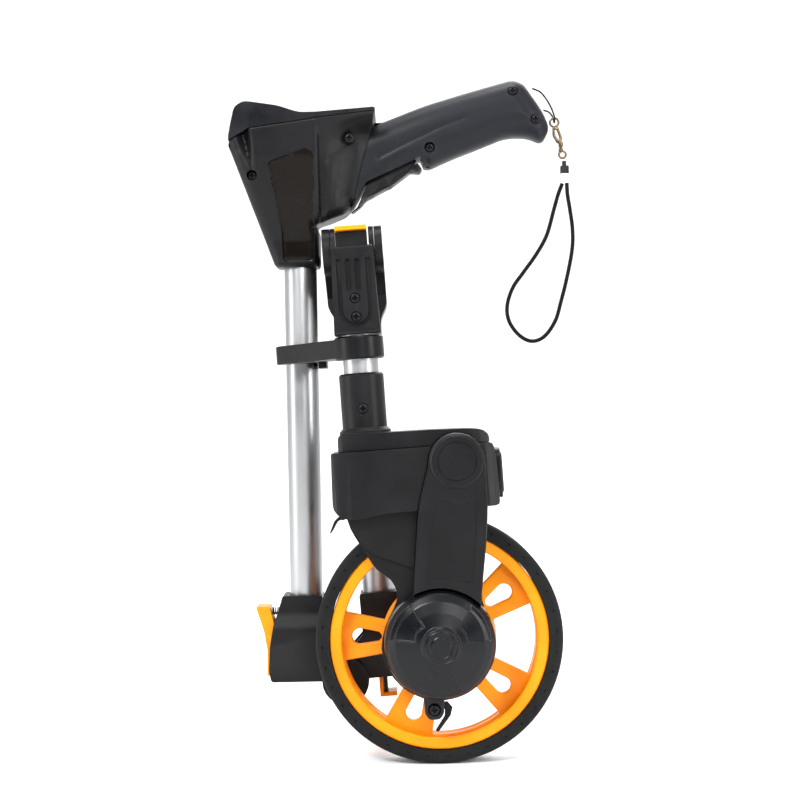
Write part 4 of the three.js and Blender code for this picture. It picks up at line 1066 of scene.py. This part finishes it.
def trigger():
    outline = rounded(TRIGGER, 2.5, 6)
    halves = [relief(outline, lambda p: np.minimum(grip_height(p, TRIGGER_HALF, 13), TRIGGER_HALF - 0.1),
                     FOLDED_Y, sign, 1.6, (), 0.9) for sign in (-1, 1)]
    inner = rounded([(-8, 316.6, 1), (-40.6, 302.6, 1), (-46.5, 290, 1), (-38, 292.6), (-25, 299),
                     (-12, 308.6, 1)], 2, 4)
    tongue = plate([inner], FOLDED_Y - 8, FOLDED_Y + 8, 0.5)
    bm = merged([*halves, tongue])
    place("finger_lever", to_mesh(bm, "finger_lever", UPRIGHT, 50), "squeeze", "black_plastic", ("trigger",))


for is_front in (True, False):
    head_shell(is_front)
    grip_shell(is_front)
trigger()
refined("display_bezel", "gloss_black", 0.9)
refined("display_lens", "clear_lens", 0.4)
refined("display_module", "display_grey", 0.2, 1)
for shown in ("power_button", "zero_button"):
    refined(shown, "orange_plastic", 0.6)


# ---- Clasp and crimp ----
def ring(bm, centre, major, minor):
    revolve(bm, circle(major, 0, minor, 12), centre, "Y", 36)


def clasp():
    bm = bmesh.new()
    ring(bm, (85.9, FOLDED_Y, 340.6), 2.95, 0.75)
    ring(bm, (91, FOLDED_Y, 318.6), 2.35, 0.75)
    revolve(bm, smooth_profile([(0, 320.6), (1.6, 320.6), (1.6, 322.4), (1.15, 322.9), (1.15, 323.7),
                                (1.6, 324.2), (1.6, 327), (0, 327)], 0.25, 3), (90, FOLDED_Y, 0), "Z", 32)
    body = rounded([(84.6, 338.2), (88.4, 338), (91.2, 329.6), (90.4, 325.6), (87.4, 326.2),
                    (84.4, 331.6)], 1.8, 6)
    hole = rounded([(86, 335.6), (87.4, 335.4), (89.2, 330), (88.6, 328.6), (86.6, 331.4)], 0.8, 4)
    whole = merged([bm, plate([body, hole], FOLDED_Y - 1.2, FOLDED_Y + 1.2, 0.5)])
    place("snap_clasp", to_mesh(whole, "snap_clasp", UPRIGHT, 50), "strap", "nickel", ("clasp",))


clasp()


def crimp():
    """A bright sleeve on the strap's ends, under a black ferrule that holds the clasp's eye."""
    piece = refined("crimp", "nickel", 0.6)
    for finish in ("steel", "black_plastic"):
        piece.data.materials.append(FINISHES[finish])
    bm = bmesh.new()
    bm.from_mesh(piece.data)
    bmesh.ops.bisect_plane(bm, geom=[*bm.verts, *bm.edges, *bm.faces], plane_co=(0, 0, FERRULE_Z),
                           plane_no=(0, 0, 1))
    for face in bm.faces:
        face.material_index = 2 if face.calc_center_median().z > FERRULE_Z else 1
    bm.to_mesh(piece.data)
    bm.free()


crimp()


# ---- Studio, in metres and watts ----
REACH = 6
SWEEP_Y = 1.2
SWEEP_R = 1.6
SWEEP_STEPS = 24
LIT = (-0.02, 0.06, 0.14)
WORLD_STRENGTH = 0.95
LIGHTS = (  # name, place, width, power and, for a strip, its height
    ("key", (-0.9, -1.5, 1.5), 0.6, 44),
    ("fill", (0.5, -1.9, 0.9), 0.7, 16),
    ("side_strip", (1.3, -0.7, 0.5), 0.35, 16, 1.4),
    ("left_strip", (-1.4, -0.35, 0.35), 0.3, 11, 1.4),
    ("top", (0, 0.2, 1.9), 0.8, 18),
    ("back", (0.3, 1.3, 1.2), 1.0, 12),
)
FLAGS = (  # name, place, width and height
    ("front_flag", (0, -2.4, 0.9), 5.0, 2.2),
    ("right_flag", (2.0, -0.9, 0.5), 1.4, 1.6),
    ("left_flag", (-2.0, -1.1, 0.5), 1.2, 1.6),
)


def make_stage():
    """A floor that sweeps up into a wall."""
    floor = bpy.data.meshes.new("floor")
    bends = [math.pi / 2 * k / SWEEP_STEPS for k in range(1, SWEEP_STEPS + 1)]
    run = [(-REACH, 0), (SWEEP_Y, 0)]
    run += [(SWEEP_Y + SWEEP_R * math.sin(a), SWEEP_R - SWEEP_R * math.cos(a)) for a in bends]
    run += [(SWEEP_Y + SWEEP_R, REACH)]
    verts = [(x, y, FLOOR_Z + z) for y, z in run for x in (-REACH, REACH)]
    faces = [(2 * i, 2 * i + 1, 2 * i + 3, 2 * i + 2) for i in range(len(run) - 1)]
    floor.from_pydata(verts, [], faces)
    for polygon in floor.polygons:
        polygon.use_smooth = True
    backdrop = bpy.data.objects.new("floor", floor)
    bpy.context.scene.collection.objects.link(backdrop)
    n = Nodes("studio_paper")
    slow = n.noise(3, 2)
    paper = n.mixed(slow, (0.90, 0.90, 0.90), (0.94, 0.94, 0.94))
    n.finish(paper, n.ranged(slow, 0, 1, 0.8, 0.9), n.bumped(n.noise(600, 2), 0.00005, 0.1))
    floor.materials.append(n.material)


def facing_lit(item, location):
    bpy.context.scene.collection.objects.link(item)
    item.location = location
    item.rotation_euler = (Vector(LIT) - Vector(location)).to_track_quat("-Z", "Y").to_euler()


def area_light(name, location, size, power, size_y=None):
    light = bpy.data.lights.new(name, "AREA")
    light.energy = power
    light.size = size
    if size_y:
        light.shape = "RECTANGLE"
        light.size_y = size_y
    facing_lit(bpy.data.objects.new(name, light), location)


def flag(name, location, width, height):
    """A black card out of the camera's sight, for the dark bands in the tubes and the plastics."""
    card = bpy.data.meshes.new(name)
    corners = [(sx * width / 2, sy * height / 2, 0) for sx, sy in ((-1, -1), (1, -1), (1, 1), (-1, 1))]
    card.from_pydata(corners, [], [(0, 1, 2, 3)])
    panel = bpy.data.objects.new(name, card)
    facing_lit(panel, location)
    panel.visible_camera = False
    n = Nodes(name)
    nap = n.noise(400, 2)
    cloth = n.mixed(nap, (0.004, 0.004, 0.004), (0.008, 0.008, 0.008))
    card.materials.append(n.finish(cloth, n.ranged(nap, 0, 1, 0.9, 1.0), n.bumped(nap, 0.0001, 0.1)))


def make_light():
    world = bpy.data.worlds.new("studio")
    bpy.context.scene.world = world
    world.use_nodes = True
    background = world.node_tree.nodes["Background"]
    background.inputs["Color"].default_value = (1, 1, 1, 1)
    background.inputs["Strength"].default_value = WORLD_STRENGTH
    for light in LIGHTS:
        area_light(*light)
    for card in FLAGS:
        flag(*card)


make_stage()
make_light()
bpy.context.scene.view_settings.view_transform = "Standard"
